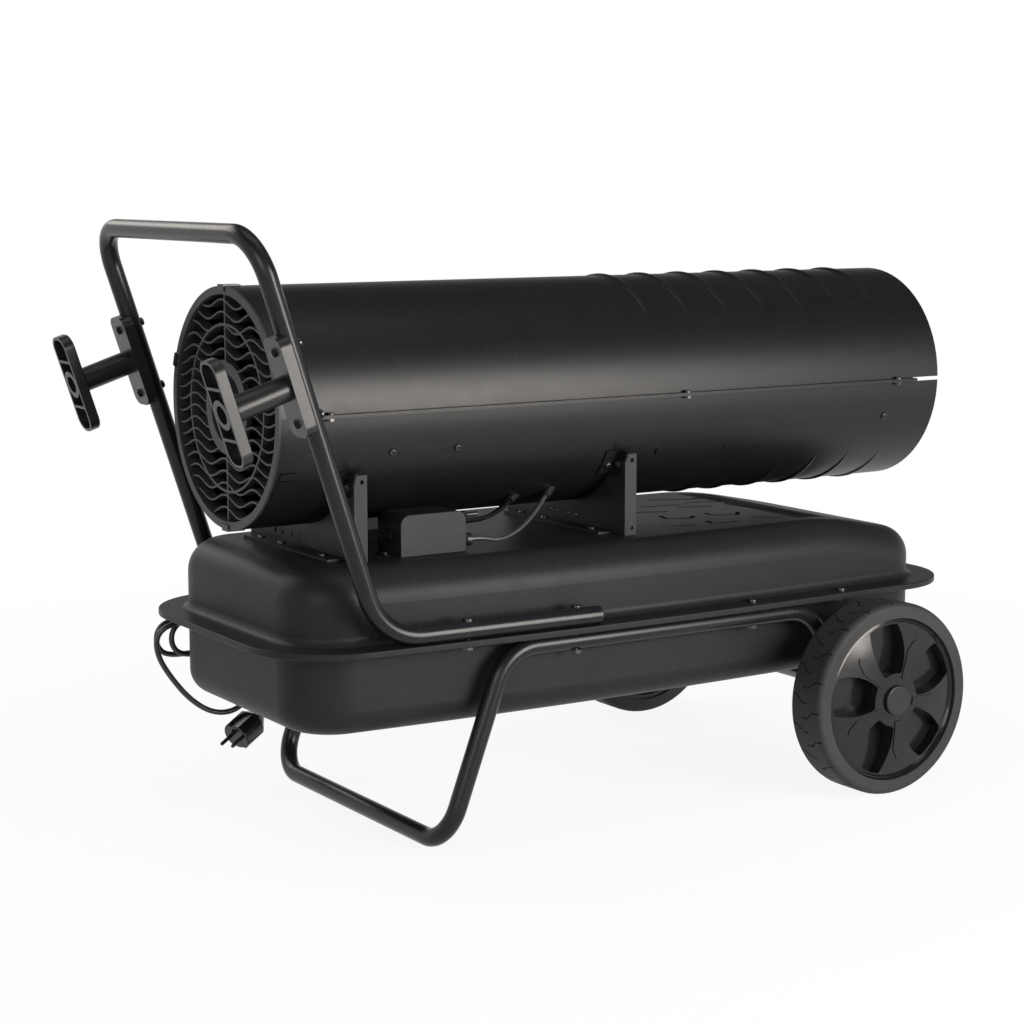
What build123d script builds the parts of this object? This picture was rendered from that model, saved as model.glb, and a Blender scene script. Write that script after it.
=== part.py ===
"""Wheeled forced air heater: a sheet-metal barrel on saddle brackets over a flanged fuel tank.

Millimetres, +Z up. While it is modelled, X runs along the barrel from the inlet (0) to the outlet, Y = 0 is
the plane of symmetry and Z = 0 is the ground. save() moves every piece by -centre_x, so that the written
origin is the middle of the object on the ground.
"""
from build123d import *
import math
import os

os.makedirs("parts", exist_ok=True)

# ---- tubes -------------------------------------------------------------------------------------
tube_radius = 11.0
tube_wall = 1.5

# ---- fuel tank ---------------------------------------------------------------------------------
tank_inlet_x = 4.0
tank_outlet_x = 932.0
tank_end_half_width = 175.0
tank_mid_half_width = 194.0
tank_corner_radius = 70.0
tank_joint_z = 247.0
tank_height_above_joint = 89.0
tank_depth_below_joint = 102.5
tank_sheet = 2.0
tank_top_edge_radius = 40.0
tank_bottom_edge_radius = 30.0
rim_width = 36.0
rim_hem = 4.0
rim_cove_radius = 10.0
slope_start_x = 735.0
slope_blend_radius = 500.0
slope_angle = 11.0
groove_width = 6.0
groove_depth = 1.5
tank_grooves = [[(679, 99), (731, 77), (758, 83), (773, 50)], [(705, 54), (753, 40)],
                [(630, 52), (688, 43)], [(599, 18), (635, 1)], [(673, 25), (713, 10)],
                [(745, 17), (755, -39), (780, -76), (771, -102)],
                [(604, -27), (598, -49), (626, -62), (640, -50)],
                [(669, -37), (666, -56), (696, -70), (711, -53)],
                [(555, -96), (592, -110)], [(629, -94), (624, -111), (662, -115)],
                [(699, -98), (729, -118)]]
tank_top_z = tank_joint_z + tank_height_above_joint
tank_bottom_z = tank_joint_z - tank_depth_below_joint
rim_top_z = tank_joint_z + rim_hem
rim_bottom_z = tank_joint_z - rim_hem

# ---- tank fittings -----------------------------------------------------------------------------
filler_x = 548.0
filler_y = 104.0
neck_radius = 17.0
neck_wall = 1.5
neck_rise = 5.0
neck_drop = 12.0
cap_radius = 23.0
cap_height = 13.0
gasket_height = 2.0
gauge_x = 496.0
gauge_y = 104.0
gauge_stem_radius = 9.0
drain_x = 560.0
drain_y = 90.0
drain_radius = 8.0

# ---- barrel ------------------------------------------------------------------------------------
barrel_radius = 141.2
barrel_sheet = 2.0
barrel_length = 976.0
barrel_axis_z = 507.5
barrel_bore = barrel_radius - barrel_sheet
seam_flange_width = 9.0
seam_flange_start = 14.0
seam_flange_end = 932.0
seam_gap = 5.0
bead_height = 2.5
bead_radius = 8.0
bead_fade = 7.0
top_bead_first_x = 526.0
top_bead_pitch = 61.7
top_bead_count = 7
bottom_bead_first_x = 632.0
bottom_bead_pitch = 56.0
bottom_bead_count = 6
seam_screw_x = (59.0, 556.0, 902.0)
side_screw_x = (145.0, 232.0, 889.5)
side_screw_angle = 19.3
shell_slot_x = 525.6
shell_pin_x = 634.7
shell_slot_angle = 30.6
snap_tab_x = 14.7
snap_tab_angle = 28.7
snap_tab_length = 20.6
snap_tab_width = 12.5
snap_tab_cut = 1.6

# ---- inlet grille ------------------------------------------------------------------------------
grille_lip = 3.0
grille_depth = 20.0
grille_ring_wall = 7.0
grille_fit = 0.3
slat_depth = 14.0
slat_thickness = 2.2
slat_pitch = 14.2
slat_wave_height = 5.0
slat_wave_length = 76.0
middle_ring_radius = 97.0
collar_radius = 43.0
collar_depth = 38.0
collar_face_radius = 54.0
grille_wall = 3.0
clip_length = 22.0
clip_width = 16.0
clip_sheet = 2.0
clip_front_sheet = 1.5
clip_angles = (90.0, -90.0, 20.0)

# ---- motor, pump and fan -----------------------------------------------------------------------
motor_radius = 55.0
motor_start_x = 92.0
motor_length = 122.0
motor_shaft_radius = 6.0
pump_radius = 38.0
pump_start_x = 60.0
pump_cover_x = 44.0
fan_start_x = 262.0
fan_depth = 40.0
fan_radius = 128.0
fan_hub_radius = 34.0
fan_blades = 5
shaft_clearance = 0.05
mount_sheet = 2.5
mount_top_z = barrel_axis_z - 59.5
mount_start_x = 130.0
mount_length = 118.0
pump_rotor_radius = 26.0
pump_rotor_length = 18.0

# ---- combustion chamber and burner -------------------------------------------------------------
chamber_radius = 105.0
chamber_sheet = 1.5
chamber_start_x = 372.0
chamber_end_x = 938.0
chamber_mouth_radius = 74.0
chamber_hole_rows = (430.0,)
target_radius = 40.0
target_setback = 30.0
burner_tube_radius = 45.0
burner_start_x = 346.0
nozzle_radius = 12.0
electrode_radius = 4.0
electrode_offset = 6.0

# ---- fuel pipe ---------------------------------------------------------------------------------
pipe_tank_x = 492.0
pipe_nozzle_x = chamber_start_x - 39.0
pipe_run_z = barrel_axis_z - 122.0
pipe_end_z = barrel_axis_z - 28.0
pipe_radius = 4.0
pipe_start_rise = 9.0
pipe_bend = 14.0

# ---- handle and foot frame ---------------------------------------------------------------------
handle_top_x = -62.9
handle_top_z = 712.2
handle_half_width = 210.5
handle_low_x = 84.4
handle_end_x = 371.8
handle_end_half_width = 219.0
handle_top_bend = 50.0
handle_low_bend = 70.0
handle_run_z = rim_top_z + tube_radius
frame_half_width = 209.0
frame_foot_x = 168.6
frame_knee_x = 251.2
frame_heel_x = 699.0
frame_bend = 55.0
foot_bend = 45.0
handle_bolt_x = (196.0, 345.0)
frame_bolt_x = 612.0
rear_rim_bolt_x = 756.0
frame_run_z = rim_bottom_z - tube_radius

# ---- wheels ------------------------------------------------------------------------------------
wheel_radius = 122.7
wheel_width = 56.5
wheel_outer_y = 291.5
axle_x = 776.0
axle_radius = 8.0
wheel_bore_clearance = 0.05
hub_radius = 103.6
hub_rim_wall = 6.0
hub_wall = 3.0
hub_back_z = -24.0
hub_dome_drop = 10.0
hub_ridge_rise = 1.2
sleeve_length = 30.0
sleeve_wall = 6.0
spoke_count = 5
spoke_turn = 62.6
pocket_depth = 20.0
pocket_corner = 4.5
sipe_count = 20
sipe_width = 1.8
sipe_depth = 2.4
tyre_shoulder = 8.0
hub_boss_radius = 17.0
hub_face_rise = 4.0
axle_cap_radius = 19.0
axle_cap_height = 4.0
axle_end_y = wheel_outer_y + hub_face_rise + 2.4
wheel_bore = axle_radius + wheel_bore_clearance

# ---- cord hooks --------------------------------------------------------------------------------
hook_distance = 166.0
hook_base_length = 113.0
hook_base_width = 40.0
hook_base_depth = 13.0
hook_post_radius = 14.5
hook_bar_length = 121.0
hook_bar_width = 38.0
hook_bar_thickness = 13.0
hook_bar_distance = 91.5
hook_bolt_spacing = 82.0

# ---- brackets ----------------------------------------------------------------------------------
bracket_sheet = 3.0
bracket_half_width = 134.0
bracket_height = 101.0
bracket_lip = 17.0
bracket_foot = 22.0
rear_bracket_x = 94.0
front_bracket_x = 471.0
bracket_hole_y = (34.0, 15.0, -10.0, -28.0)
bracket_hole_shift = 32.0
bracket_hole_z = tank_top_z + 13.5
foot_screw_y = (-80.0, 26.6, 80.0)
foot_screw_inset = 12.0
ear_sheet = 2.5
ear_length = 22.0
ear_leg_height = 16.0
ear_low_z = tank_top_z + bracket_height - 26.0
ear_high_z = tank_top_z + bracket_height + 4.0
ear_bolt_z = barrel_axis_z - 83.5

# ---- fasteners ---------------------------------------------------------------------------------
bolt_radius = 3.0
bolt_head_radius = 6.0
bolt_head_height = 4.0
screw_radius = 2.0
screw_head_radius = 4.5
screw_head_height = 2.6
hole_clearance = 0.2
bolt_seat = 1.2

# ---- gaps --------------------------------------------------------------------------------------
moving_gap = 0.6

# ---- boxes on the tank -------------------------------------------------------------------------
near_box = {"x": (158.6, 247.0), "y": (-127.0, -72.0), "height": 49.0, "sheet": 1.5, "corner": 12.0}
far_box = {"x": (150.0, 290.0), "y": (76.0, 136.0), "height": 46.0, "sheet": 2.0, "corner": 8.0}
tab_length = 11.0
tab_width = 18.0
gland_y, gland_z = -115.0, tank_top_z + 12.0
gland_radius = 8.0
gland_reach = 12.0
stud_y, stud_z = -118.0, tank_top_z + 42.0
stud_boss_radius = 4.6
lead_y, lead_z = -100.0, tank_top_z + 32.0
control_cable_diameter = 6.0
lead_diameter = 5.0
blind_grommet_z = tank_top_z + 22.0
blind_grommet_radius = 5.0
knob_x, rocker_x = 190.0, 245.0
control_z = tank_top_z + 23.0
knob_radius = 16.0
knob_bush_radius = 5.0
rocker_width, rocker_height = 15.0, 21.0
rocker_tilt = 8.0
rocker_gap = 0.6
panel_sheet = 2.0
relief_x, relief_z = 271.0, tank_top_z + 15.0
relief_reach = 24.0
relief_depth = 6.0
relief_wall = 2.0

# ---- mains cord --------------------------------------------------------------------------------
cord_diameter = 7.0
hank_top_z = 222.0
hank_bottom_z = 178.0
hank_outer_y = 207.7
hank_pitch = 7.8
hank_left_x = (17.0, 34.0)
hank_right_x = (178.0, 172.0)
hank_start_x = 160.0
hank_end_x = 30.0
plug_face = (90.0, 180.0, 67.0)
plug_way = (-0.855, -0.302, -0.422)
plug_reach = 62.0
tie_low_x = 186.6
tie_high_x = 249.4
tie_low_y = 189.1
tie_high_y = frame_half_width + tube_radius - 0.2
tie_flare = 2.7
tie_sheet = 1.2
tie_width = 5.0
tie_z = 192.0


# ---- derived places ----------------------------------------------------------------------------
leg_dx = handle_low_x - handle_top_x
leg_dz = handle_top_z - handle_run_z
leg_length = math.hypot(leg_dx, leg_dz)
leg_lean = math.degrees(math.atan2(leg_dx, leg_dz))
hook_x = handle_top_x + leg_dx * hook_distance / leg_length
hook_z = handle_top_z - leg_dz * hook_distance / leg_length
hook_reach = hook_bar_distance + hook_bar_thickness / 2
rearmost_x = (hook_x - hook_reach * math.cos(math.radians(leg_lean))
              - hook_bar_length / 2 * math.sin(math.radians(leg_lean)))
centre_x = (rearmost_x + barrel_length) / 2
wheel_z = wheel_radius


def save(name, shape):
    export_step(Pos(-centre_x, 0, 0) * shape, f"parts/{name}.step")


def mirrored(shape):
    """The shape with its copy on the other side of the plane of symmetry."""
    return Part() + [shape, mirror(shape, about=Plane.XZ)]


def tube_along(points, bends, outer, bore=0.0):
    path = FilletPolyline(*points, radius=bends)
    start = Plane(origin=path @ 0, z_dir=path % 0)
    section = start * Circle(outer)
    if bore:
        section -= start * Circle(bore)
    return sweep(section, path=path)


def rod(start, end, radius):
    """Round bar from one point to another."""
    axis = Vector(*end) - Vector(*start)
    return extrude(Plane(origin=start, z_dir=axis) * Circle(radius), axis.length)


def bolt(place, grip, nut=True, radius=bolt_radius, head=bolt_head_radius):
    """Bolt along the plane's normal: head outside at 0, shank through the grip, nut behind it."""
    head_height = head * bolt_head_height / bolt_head_radius
    body = extrude(Circle(head), head_height)
    body = fillet(body.edges().sort_by(Axis.Z)[-1], head_height * 0.4)
    body += extrude(Circle(radius), -(grip + head_height + 1.0))
    if nut:
        body += Pos(0, 0, -grip) * extrude(RegularPolygon(head * 1.08, 6), -head_height)
    return place * body


def screw(place, length):
    """Pan-head sheet screw."""
    body = extrude(Circle(screw_head_radius), screw_head_height)
    body = fillet(body.edges().sort_by(Axis.Z)[-1], screw_head_height * 0.5)
    return place * (body + extrude(Circle(screw_radius), -length))


# ---- tank --------------------------------------------------------------------------------------
def tank_outline(grow, z):
    """Plan outline of the tank with bowed sides, grown by a distance, as a face."""
    x0, x1 = tank_inlet_x - grow, tank_outlet_x + grow
    end, mid = tank_end_half_width + grow, tank_mid_half_width + grow
    near = ThreePointArc((x0, -end), ((x0 + x1) / 2, -mid), (x1, -end))
    far = ThreePointArc((x1, end), ((x0 + x1) / 2, mid), (x0, end))
    face = make_face([near, Line(near @ 1, far @ 0), far, Line(far @ 1, near @ 0)])
    return Pos(0, 0, z) * fillet(face.vertices(), tank_corner_radius + grow)


def above_slope(inset):
    """What the top loses towards the outlet: a tangent bend, then a straight slope."""
    top = tank_top_z - inset
    bend = JernArc((slope_start_x, top), (1, 0), slope_blend_radius - inset, -slope_angle)
    reach = tank_outlet_x + rim_width - (bend @ 1).X
    low = (bend @ 1) + (bend % 1) * (reach / (bend % 1).X)
    lid = top + 10.0
    edges = [bend, Line(bend @ 1, low), Line(low, (low.X, lid)), Line((low.X, lid), (slope_start_x, lid)),
             Line((slope_start_x, lid), (slope_start_x, top))]
    return extrude(Plane.XZ * make_face(edges), tank_mid_half_width + rim_width, both=True)


def top_edges(body):
    """The loop round the top, without the upright corners and the seams across it."""
    edges = []
    for edge in body.edges():
        middle, size = edge.center(), edge.bounding_box().size
        upright = size.Z > 20.0 and size.Y < 1.0 and size.X < 1.0
        across = size.X < 1.0 and size.Z < 1.0 and size.Y > 50.0
        inside = tank_inlet_x + 20.0 < middle.X < tank_outlet_x - 20.0
        if middle.Z > tank_joint_z + 3.0 and not upright and not (across and inside):
            edges.append(edge)
    return edges


def upper_form(inset):
    body = extrude(tank_outline(-inset, tank_joint_z), tank_height_above_joint - inset)
    body -= above_slope(inset)
    return fillet(top_edges(body), tank_top_edge_radius - inset)


def lower_form(inset):
    body = extrude(tank_outline(-inset, tank_joint_z), -(tank_depth_below_joint - inset))
    return fillet(body.edges().group_by(Axis.Z)[0], tank_bottom_edge_radius - inset)


def cove_edges(body, z):
    """Edges of the inner corner where the body meets the rim."""
    edges = []
    for edge in body.edges():
        middle, size = edge.center(), edge.bounding_box().size
        flat = abs(middle.Z - z) < 0.01 and size.Z < 0.01
        within = (tank_inlet_x - 1.0 < middle.X < tank_outlet_x + 1.0
                  and abs(middle.Y) < tank_mid_half_width + 1.0)
        if flat and within:
            edges.append(edge)
    return edges


def handle_y(x):
    """Half width of the handle's lower run, which flares with the rim."""
    share = (x - handle_low_x) / (handle_end_x - handle_low_x)
    return handle_half_width + share * (handle_end_half_width - handle_half_width)


def rim_bolts():
    """Bolts at the rim: x, y, height of the head's seat, height of the nut's seat."""
    on_handle = handle_run_z + tube_radius - bolt_seat
    under_frame = frame_run_z - tube_radius + bolt_seat
    both_tubes_y = (handle_y(handle_bolt_x[1]) + frame_half_width) / 2
    return [(handle_bolt_x[0], handle_y(handle_bolt_x[0]), on_handle, rim_bottom_z),
            (handle_bolt_x[1], both_tubes_y, on_handle, under_frame),
            (frame_bolt_x, frame_half_width, rim_top_z, under_frame),
            (rear_rim_bolt_x, frame_half_width, rim_top_z, rim_bottom_z)]


def rim_holes():
    holes = [Pos(x, y, tank_joint_z) * Cylinder(bolt_radius + hole_clearance, 4 * rim_hem)
             for x, y, _, _ in rim_bolts()]
    return mirrored(Part() + holes)


def drill_for_rim_bolts(tube, seat_above):
    """Holes and flat seats for the rim bolts in a near-side or far-side tube."""
    for x, y, top, bottom in rim_bolts():
        for side in (-1, 1):
            middle = (handle_run_z + frame_run_z) / 2
            tube -= Pos(x, side * y, middle) * Cylinder(bolt_radius + hole_clearance, 4 * tube_radius + 20.0)
            seat = top if seat_above else bottom
            align = Align.MIN if seat_above else Align.MAX
            flat = Cylinder(bolt_head_radius + 1.0, 10.0, align=(Align.CENTER, Align.CENTER, align))
            tube -= Pos(x, side * y, seat) * flat
    return tube


def groove_prism(width):
    """Upright bars over the grooves in the tank's top, each a chain of round-ended strokes."""
    strokes = Sketch()
    for groove in tank_grooves:
        for start, end in zip(groove, groove[1:]):
            strokes += SlotCenterToCenter(math.dist(start, end), width).moved(
                Location(((start[0] + end[0]) / 2, (start[1] + end[1]) / 2, 0),
                         (0, 0, math.degrees(math.atan2(end[1] - start[1], end[0] - start[0])))))
    return Pos(0, 0, tank_joint_z + rim_cove_radius) * extrude(strokes, tank_height_above_joint)


def tank_upper_shell():
    rim = extrude(tank_outline(rim_width, tank_joint_z), rim_hem)
    rim = fillet(rim.edges().group_by(Axis.Z)[-1], rim_hem * 0.4)
    body = upper_form(0.0) + rim
    body = fillet(cove_edges(body, rim_top_z), rim_cove_radius)
    body -= groove_prism(groove_width) - upper_form(groove_depth)
    inner_width = groove_width + 2 * tank_sheet
    body -= upper_form(tank_sheet) - (groove_prism(inner_width) - upper_form(tank_sheet + groove_depth))
    body -= Pos(filler_x, filler_y, tank_top_z) * Cylinder(neck_radius, 4 * tank_sheet)
    body -= Pos(gauge_x, gauge_y, tank_top_z) * Cylinder(gauge_stem_radius, 4 * tank_sheet)
    for x, y in deck_screw_places():
        body -= Pos(x, y, tank_top_z) * Cylinder(screw_radius + hole_clearance, 4 * tank_sheet)
    return body - rim_holes()


def tank_lower_shell():
    rim = extrude(tank_outline(rim_width, tank_joint_z), -rim_hem)
    rim = fillet(rim.edges().group_by(Axis.Z)[0], rim_hem * 0.4)
    body = lower_form(0.0) + rim
    body = fillet(cove_edges(body, rim_bottom_z), rim_cove_radius)
    body -= lower_form(tank_sheet)
    body -= Pos(drain_x, drain_y, tank_bottom_z) * Cylinder(drain_radius, 4 * tank_sheet)
    return body - rim_holes()


# ---- tank fittings -----------------------------------------------------------------------------
def filler_neck():
    """Neck pressed through the tank top, with a collar that sits on it."""
    z0 = tank_top_z
    outside = Pos(0, 0, z0 - neck_drop) * extrude(Circle(neck_radius), neck_drop + neck_rise)
    collar = Pos(0, 0, z0) * extrude(Circle(neck_radius + 4.0), 1.5)
    bore = Pos(0, 0, z0 - neck_drop) * extrude(Circle(neck_radius - neck_wall), neck_drop + neck_rise)
    return Pos(filler_x, filler_y, 0) * (outside + collar - bore)


def fuel_strainer():
    """Basket hung in the neck by its lip."""
    lip_z = tank_top_z + neck_rise
    outer, wall, depth = neck_radius - neck_wall - 0.3, 1.2, 46.0
    cup = Pos(0, 0, lip_z - depth) * extrude(Circle(outer), depth)
    lip = Pos(0, 0, lip_z) * extrude(Circle(neck_radius), 1.0)
    bore = Pos(0, 0, lip_z - depth + wall) * extrude(Circle(outer - wall), depth + 1.0)
    windows = []
    for step in range(4):
        windows.append(Rot(0, 0, 45 + 90 * step) * Pos(outer, 0, lip_z - 30.0) * Box(6.0, 11.0, 22.0))
    return Pos(filler_x, filler_y, 0) * (cup + lip - bore - windows)


def cap_gasket():
    z0 = tank_top_z + neck_rise + 1.0
    ring = extrude(Circle(neck_radius) - Circle(neck_radius - 4.0), gasket_height)
    return Pos(filler_x, filler_y, z0) * ring


def fuel_cap():
    """Cap with a ribbed skirt and a grip bar, which stands on the gasket."""
    z0 = tank_top_z + neck_rise + 1.0 + gasket_height
    skirt_z = tank_top_z + 1.5 + moving_gap
    top_z = z0 + cap_height - neck_rise
    body = Pos(0, 0, skirt_z) * extrude(Circle(cap_radius), top_z - skirt_z)
    body = fillet(body.edges().group_by(Axis.Z)[-1], 2.0)
    body -= Pos(0, 0, skirt_z) * extrude(Circle(neck_radius + 1.0), z0 - skirt_z)
    grip = Pos(0, 0, top_z) * extrude(SlotOverall(2 * cap_radius - 8.0, 9.0), 5.0)
    grip = fillet(grip.edges().group_by(Axis.Z)[-1], 1.5)
    notches = []
    for step in range(12):
        notches.append(Rot(0, 0, 30 * step) * Pos(cap_radius + 0.6, 0, skirt_z) * Cylinder(2.0, 12.0))
    return Pos(filler_x, filler_y, 0) * (body + grip - notches)


def fuel_gauge():
    """Float gauge head: a stem in the tank top under a small clear dome."""
    head = extrude(Circle(gauge_stem_radius + 4.0), 3.0) + Pos(0, 0, 3.0) * extrude(Circle(8.0), 5.0)
    head = fillet(head.edges().group_by(Axis.Z)[-1], 2.5)
    stem = extrude(Circle(gauge_stem_radius - hole_clearance), -14.0)
    return Pos(gauge_x, gauge_y, tank_top_z) * (head + stem)


def drain_plug():
    head = extrude(RegularPolygon(drain_radius + 4.0, 6), -6.0)
    stem = extrude(Circle(drain_radius - hole_clearance), tank_sheet + 5.0)
    return Pos(drain_x, drain_y, tank_bottom_z) * (head + stem)


# ---- saddle brackets ---------------------------------------------------------------------------
def deck_screw_places():
    """Places on the tank's top where screws go in: bracket feet and the tabs of both boxes."""
    feet = [(x - foot_screw_inset, y) for x in (rear_bracket_x, front_bracket_x) for y in foot_screw_y]
    return feet + box_tab_places(near_box) + box_tab_places(far_box)


def saddle_bracket(x, hole_shift):
    """Folded plate across the tank with a saddle edge for the barrel, side lips and a foot."""
    plate = Pos(x, 0, tank_top_z) * Box(bracket_sheet, 2 * bracket_half_width, bracket_height,
                                        align=(Align.MIN, Align.CENTER, Align.MIN))
    lip = Pos(x, -bracket_half_width, tank_top_z) * Box(bracket_lip, bracket_sheet, bracket_height,
                                                        align=Align.MIN)
    foot = Pos(x, 0, tank_top_z) * Box(bracket_foot, 2 * bracket_half_width - 50.0, bracket_sheet,
                                       align=(Align.MAX, Align.CENTER, Align.MIN))
    body = plate + mirrored(lip) + foot
    body -= Pos(x, 0, barrel_axis_z) * Rot(0, 90, 0) * Cylinder(barrel_radius, 4 * bracket_foot)
    for y in bracket_hole_y:
        body -= Pos(x, y + hole_shift, bracket_hole_z) * Rot(0, 90, 0) * Cylinder(3.0, 4 * bracket_sheet)
    for y in foot_screw_y:
        body -= Pos(x - foot_screw_inset, y, tank_top_z) * Cylinder(screw_radius + hole_clearance,
                                                                   4 * bracket_sheet)
    for side in (-1, 1):
        body -= ear_bolt_place(x + bracket_sheet, side) * Cylinder(bolt_radius + hole_clearance, 20.0)
    for z in (9.0, bracket_height - 8.0):
        lip_hole = Rot(90, 0, 0) * Cylinder(2.6, 4 * bracket_half_width)
        body -= Pos(x + 0.6 * bracket_lip, 0, tank_top_z + z) * lip_hole
    return body


def rear_bracket():
    return saddle_bracket(rear_bracket_x, bracket_hole_shift)


def front_bracket():
    return saddle_bracket(front_bracket_x, 0.0)


def ear_bolt_place(x, side):
    """Plane at the bolt through the ear's upright leg and the bracket, normal along +X."""
    radius = barrel_radius + ear_leg_height / 2
    y = side * math.sqrt(radius ** 2 - (barrel_axis_z - ear_bolt_z) ** 2)
    return Plane(origin=(x, y, ear_bolt_z), x_dir=(0, 1, 0), z_dir=(1, 0, 0))


def ear_screw_place(x, side, height):
    """Plane on the barrel over the ear's pad, lifted by a height, normal outwards."""
    y = side * math.sqrt(barrel_radius ** 2 - (barrel_axis_z - ear_bolt_z) ** 2)
    out = Vector(0, y, ear_bolt_z - barrel_axis_z).normalized()
    origin = Vector(x - ear_length + 9.0, 0, barrel_axis_z) + out * (barrel_radius + height)
    return Plane(origin=origin, x_dir=(1, 0, 0), z_dir=out)


def bracket_ears():
    """Angle ears at the brackets' upper ends: one leg on the plate, one curved against the barrel."""
    ears = []
    for x in (rear_bracket_x, front_bracket_x):
        ring = Circle(barrel_radius + ear_sheet) - Circle(barrel_radius)
        pad = extrude(barrel_plane(x - ear_length) * ring, ear_length)
        leg_ring = Circle(barrel_radius + ear_leg_height) - Circle(barrel_radius)
        leg = extrude(barrel_plane(x - ear_sheet) * leg_ring, ear_sheet)
        window = Pos(x, -2 * barrel_radius, ear_low_z) * Box(4 * ear_length, 2 * barrel_radius,
                                                             ear_high_z - ear_low_z,
                                                             align=(Align.CENTER, Align.MIN, Align.MIN))
        for side in (-1, 1):
            half = window if side < 0 else mirror(window, about=Plane.XZ)
            ear = (pad & half) + (leg & half)
            ear -= ear_bolt_place(x, side) * Cylinder(bolt_radius + hole_clearance, 20.0)
            ear -= ear_screw_place(x, side, 0.0) * Cylinder(screw_radius + hole_clearance, 20.0)
            ears.append(ear)
    return Part() + ears


def bracket_bolts():
    """Bolts through ears and brackets, screws into the barrel and into the tank's top."""
    pieces = []
    for x in (rear_bracket_x, front_bracket_x):
        for side in (-1, 1):
            place = ear_bolt_place(x + bracket_sheet, side)
            pieces.append(place * bolt(Plane.XY, bracket_sheet + ear_sheet, head=5.0))
            pieces.append(screw(ear_screw_place(x, side, ear_sheet), ear_sheet + 6.0))
        for y in foot_screw_y:
            top = Plane(origin=(x - foot_screw_inset, y, tank_top_z + bracket_sheet))
            pieces.append(screw(top, bracket_sheet + 7.0))
    return Part() + pieces


# ---- barrel ------------------------------------------------------------------------------------
def barrel_plane(x):
    """Plane across the barrel: its local x is +Y, its local y is +Z, its normal is +X."""
    return Plane(origin=(x, 0, barrel_axis_z), x_dir=(0, 1, 0), z_dir=(1, 0, 0))


def beads(first, pitch, count, side):
    """Pressed beads round the barrel, highest in the middle and faded out at their ends."""
    major = barrel_radius + bead_height - bead_radius - bead_fade
    ring = Torus(major, bead_radius)
    rings = []
    for step in range(count):
        place = Pos(first + step * pitch, 0, barrel_axis_z + side * bead_fade) * Rot(0, 90, 0)
        rings.append(place * ring)
    length = count * pitch
    core = Pos(first + length / 2, 0, barrel_axis_z) * Rot(0, 90, 0) * Cylinder(barrel_radius - 0.6,
                                                                               length + 100.0)
    return [bead - core for bead in rings]


def half_shell(side):
    """Upper (side 1) or lower (side -1) half of the barrel with its two seam flanges."""
    ring = Circle(barrel_radius) - Circle(barrel_bore)
    wall = extrude(barrel_plane(0) * ring, barrel_length)
    reach = barrel_radius + seam_flange_width
    half = Pos(0, 0, barrel_axis_z) * Box(barrel_length, 2 * reach, reach,
                                          align=(Align.MIN, Align.CENTER,
                                                 Align.MIN if side > 0 else Align.MAX))
    wall = wall & half
    flange = Pos(seam_flange_start, barrel_radius - 1.0, barrel_axis_z) * Box(
        seam_flange_end - seam_flange_start, seam_flange_width + 1.0, barrel_sheet,
        align=(Align.MIN, Align.MIN, Align.MIN if side > 0 else Align.MAX))
    wall += mirrored(flange)
    opening = Pos(seam_flange_end, 0, barrel_axis_z) * Box(barrel_length, 2 * reach, seam_gap,
                                                           align=(Align.MIN, Align.CENTER, Align.CENTER))
    wall -= opening
    for x in seam_screw_x:
        hole = Pos(x, barrel_radius + seam_flange_width / 2, barrel_axis_z)
        wall -= mirrored(hole * Cylinder(screw_radius + hole_clearance, 4 * barrel_sheet))
    return wall


def side_screw_place(x, side, below=side_screw_angle):
    """Plane on the barrel's lower side, an angle below the axis, normal outwards."""
    angle = math.radians(-below)
    out = Vector(0, side * math.cos(angle), math.sin(angle))
    origin = Vector(x, 0, barrel_axis_z) + out * barrel_radius
    return Plane(origin=origin, x_dir=(1, 0, 0), z_dir=out)


def snap_tab_slot():
    """Three-sided cut that leaves a spring tongue in the sheet, joined on its outlet side."""
    tongue = Rectangle(snap_tab_length - snap_tab_cut, snap_tab_width - 2 * snap_tab_cut)
    return Rectangle(snap_tab_length, snap_tab_width) - Pos(snap_tab_cut / 2, 0) * tongue


def upper_barrel_shell():
    body = half_shell(1)
    for bead in beads(top_bead_first_x, top_bead_pitch, top_bead_count, 1):
        body += bead
    return body


def lower_barrel_shell():
    body = half_shell(-1)
    for bead in beads(bottom_bead_first_x, bottom_bead_pitch, bottom_bead_count, -1):
        body += bead
    for x in side_screw_x:
        for side in (-1, 1):
            body -= side_screw_place(x, side) * Cylinder(screw_radius + hole_clearance, 4 * barrel_sheet)
    for side in (-1, 1):
        slot = side_screw_place(shell_slot_x, side, shell_slot_angle) * Rot(0, 0, 90)
        body -= slot * extrude(SlotOverall(9.0, 3.0), 4 * barrel_sheet, both=True)
        pin = extrude(Circle(2.2), 1.4) + extrude(Circle(1.6), -3 * barrel_sheet)
        body += side_screw_place(shell_pin_x, side, shell_slot_angle) * pin
        tab = side_screw_place(snap_tab_x, side, snap_tab_angle)
        body -= tab * extrude(snap_tab_slot(), 4 * barrel_sheet, both=True)
    pipe_hole = Cylinder(pipe_radius + hole_clearance, barrel_axis_z - pipe_run_z,
                         align=(Align.CENTER, Align.CENTER, Align.MAX))
    body -= Pos(pipe_tank_x, 0, pipe_run_z) * pipe_hole
    for x in (rear_bracket_x, front_bracket_x):
        for side in (-1, 1):
            body -= ear_screw_place(x, side, 0.0) * Cylinder(screw_radius + hole_clearance, 4 * barrel_sheet)
    return body - cable_grommets(solid=True)


def seam_screws():
    screws = []
    for x in seam_screw_x:
        place = Plane(origin=(x, -barrel_radius - seam_flange_width / 2, barrel_axis_z + barrel_sheet))
        screws.append(bolt(place, 2 * barrel_sheet, radius=screw_radius, head=4.2))
    return mirrored(Part() + screws)


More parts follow.
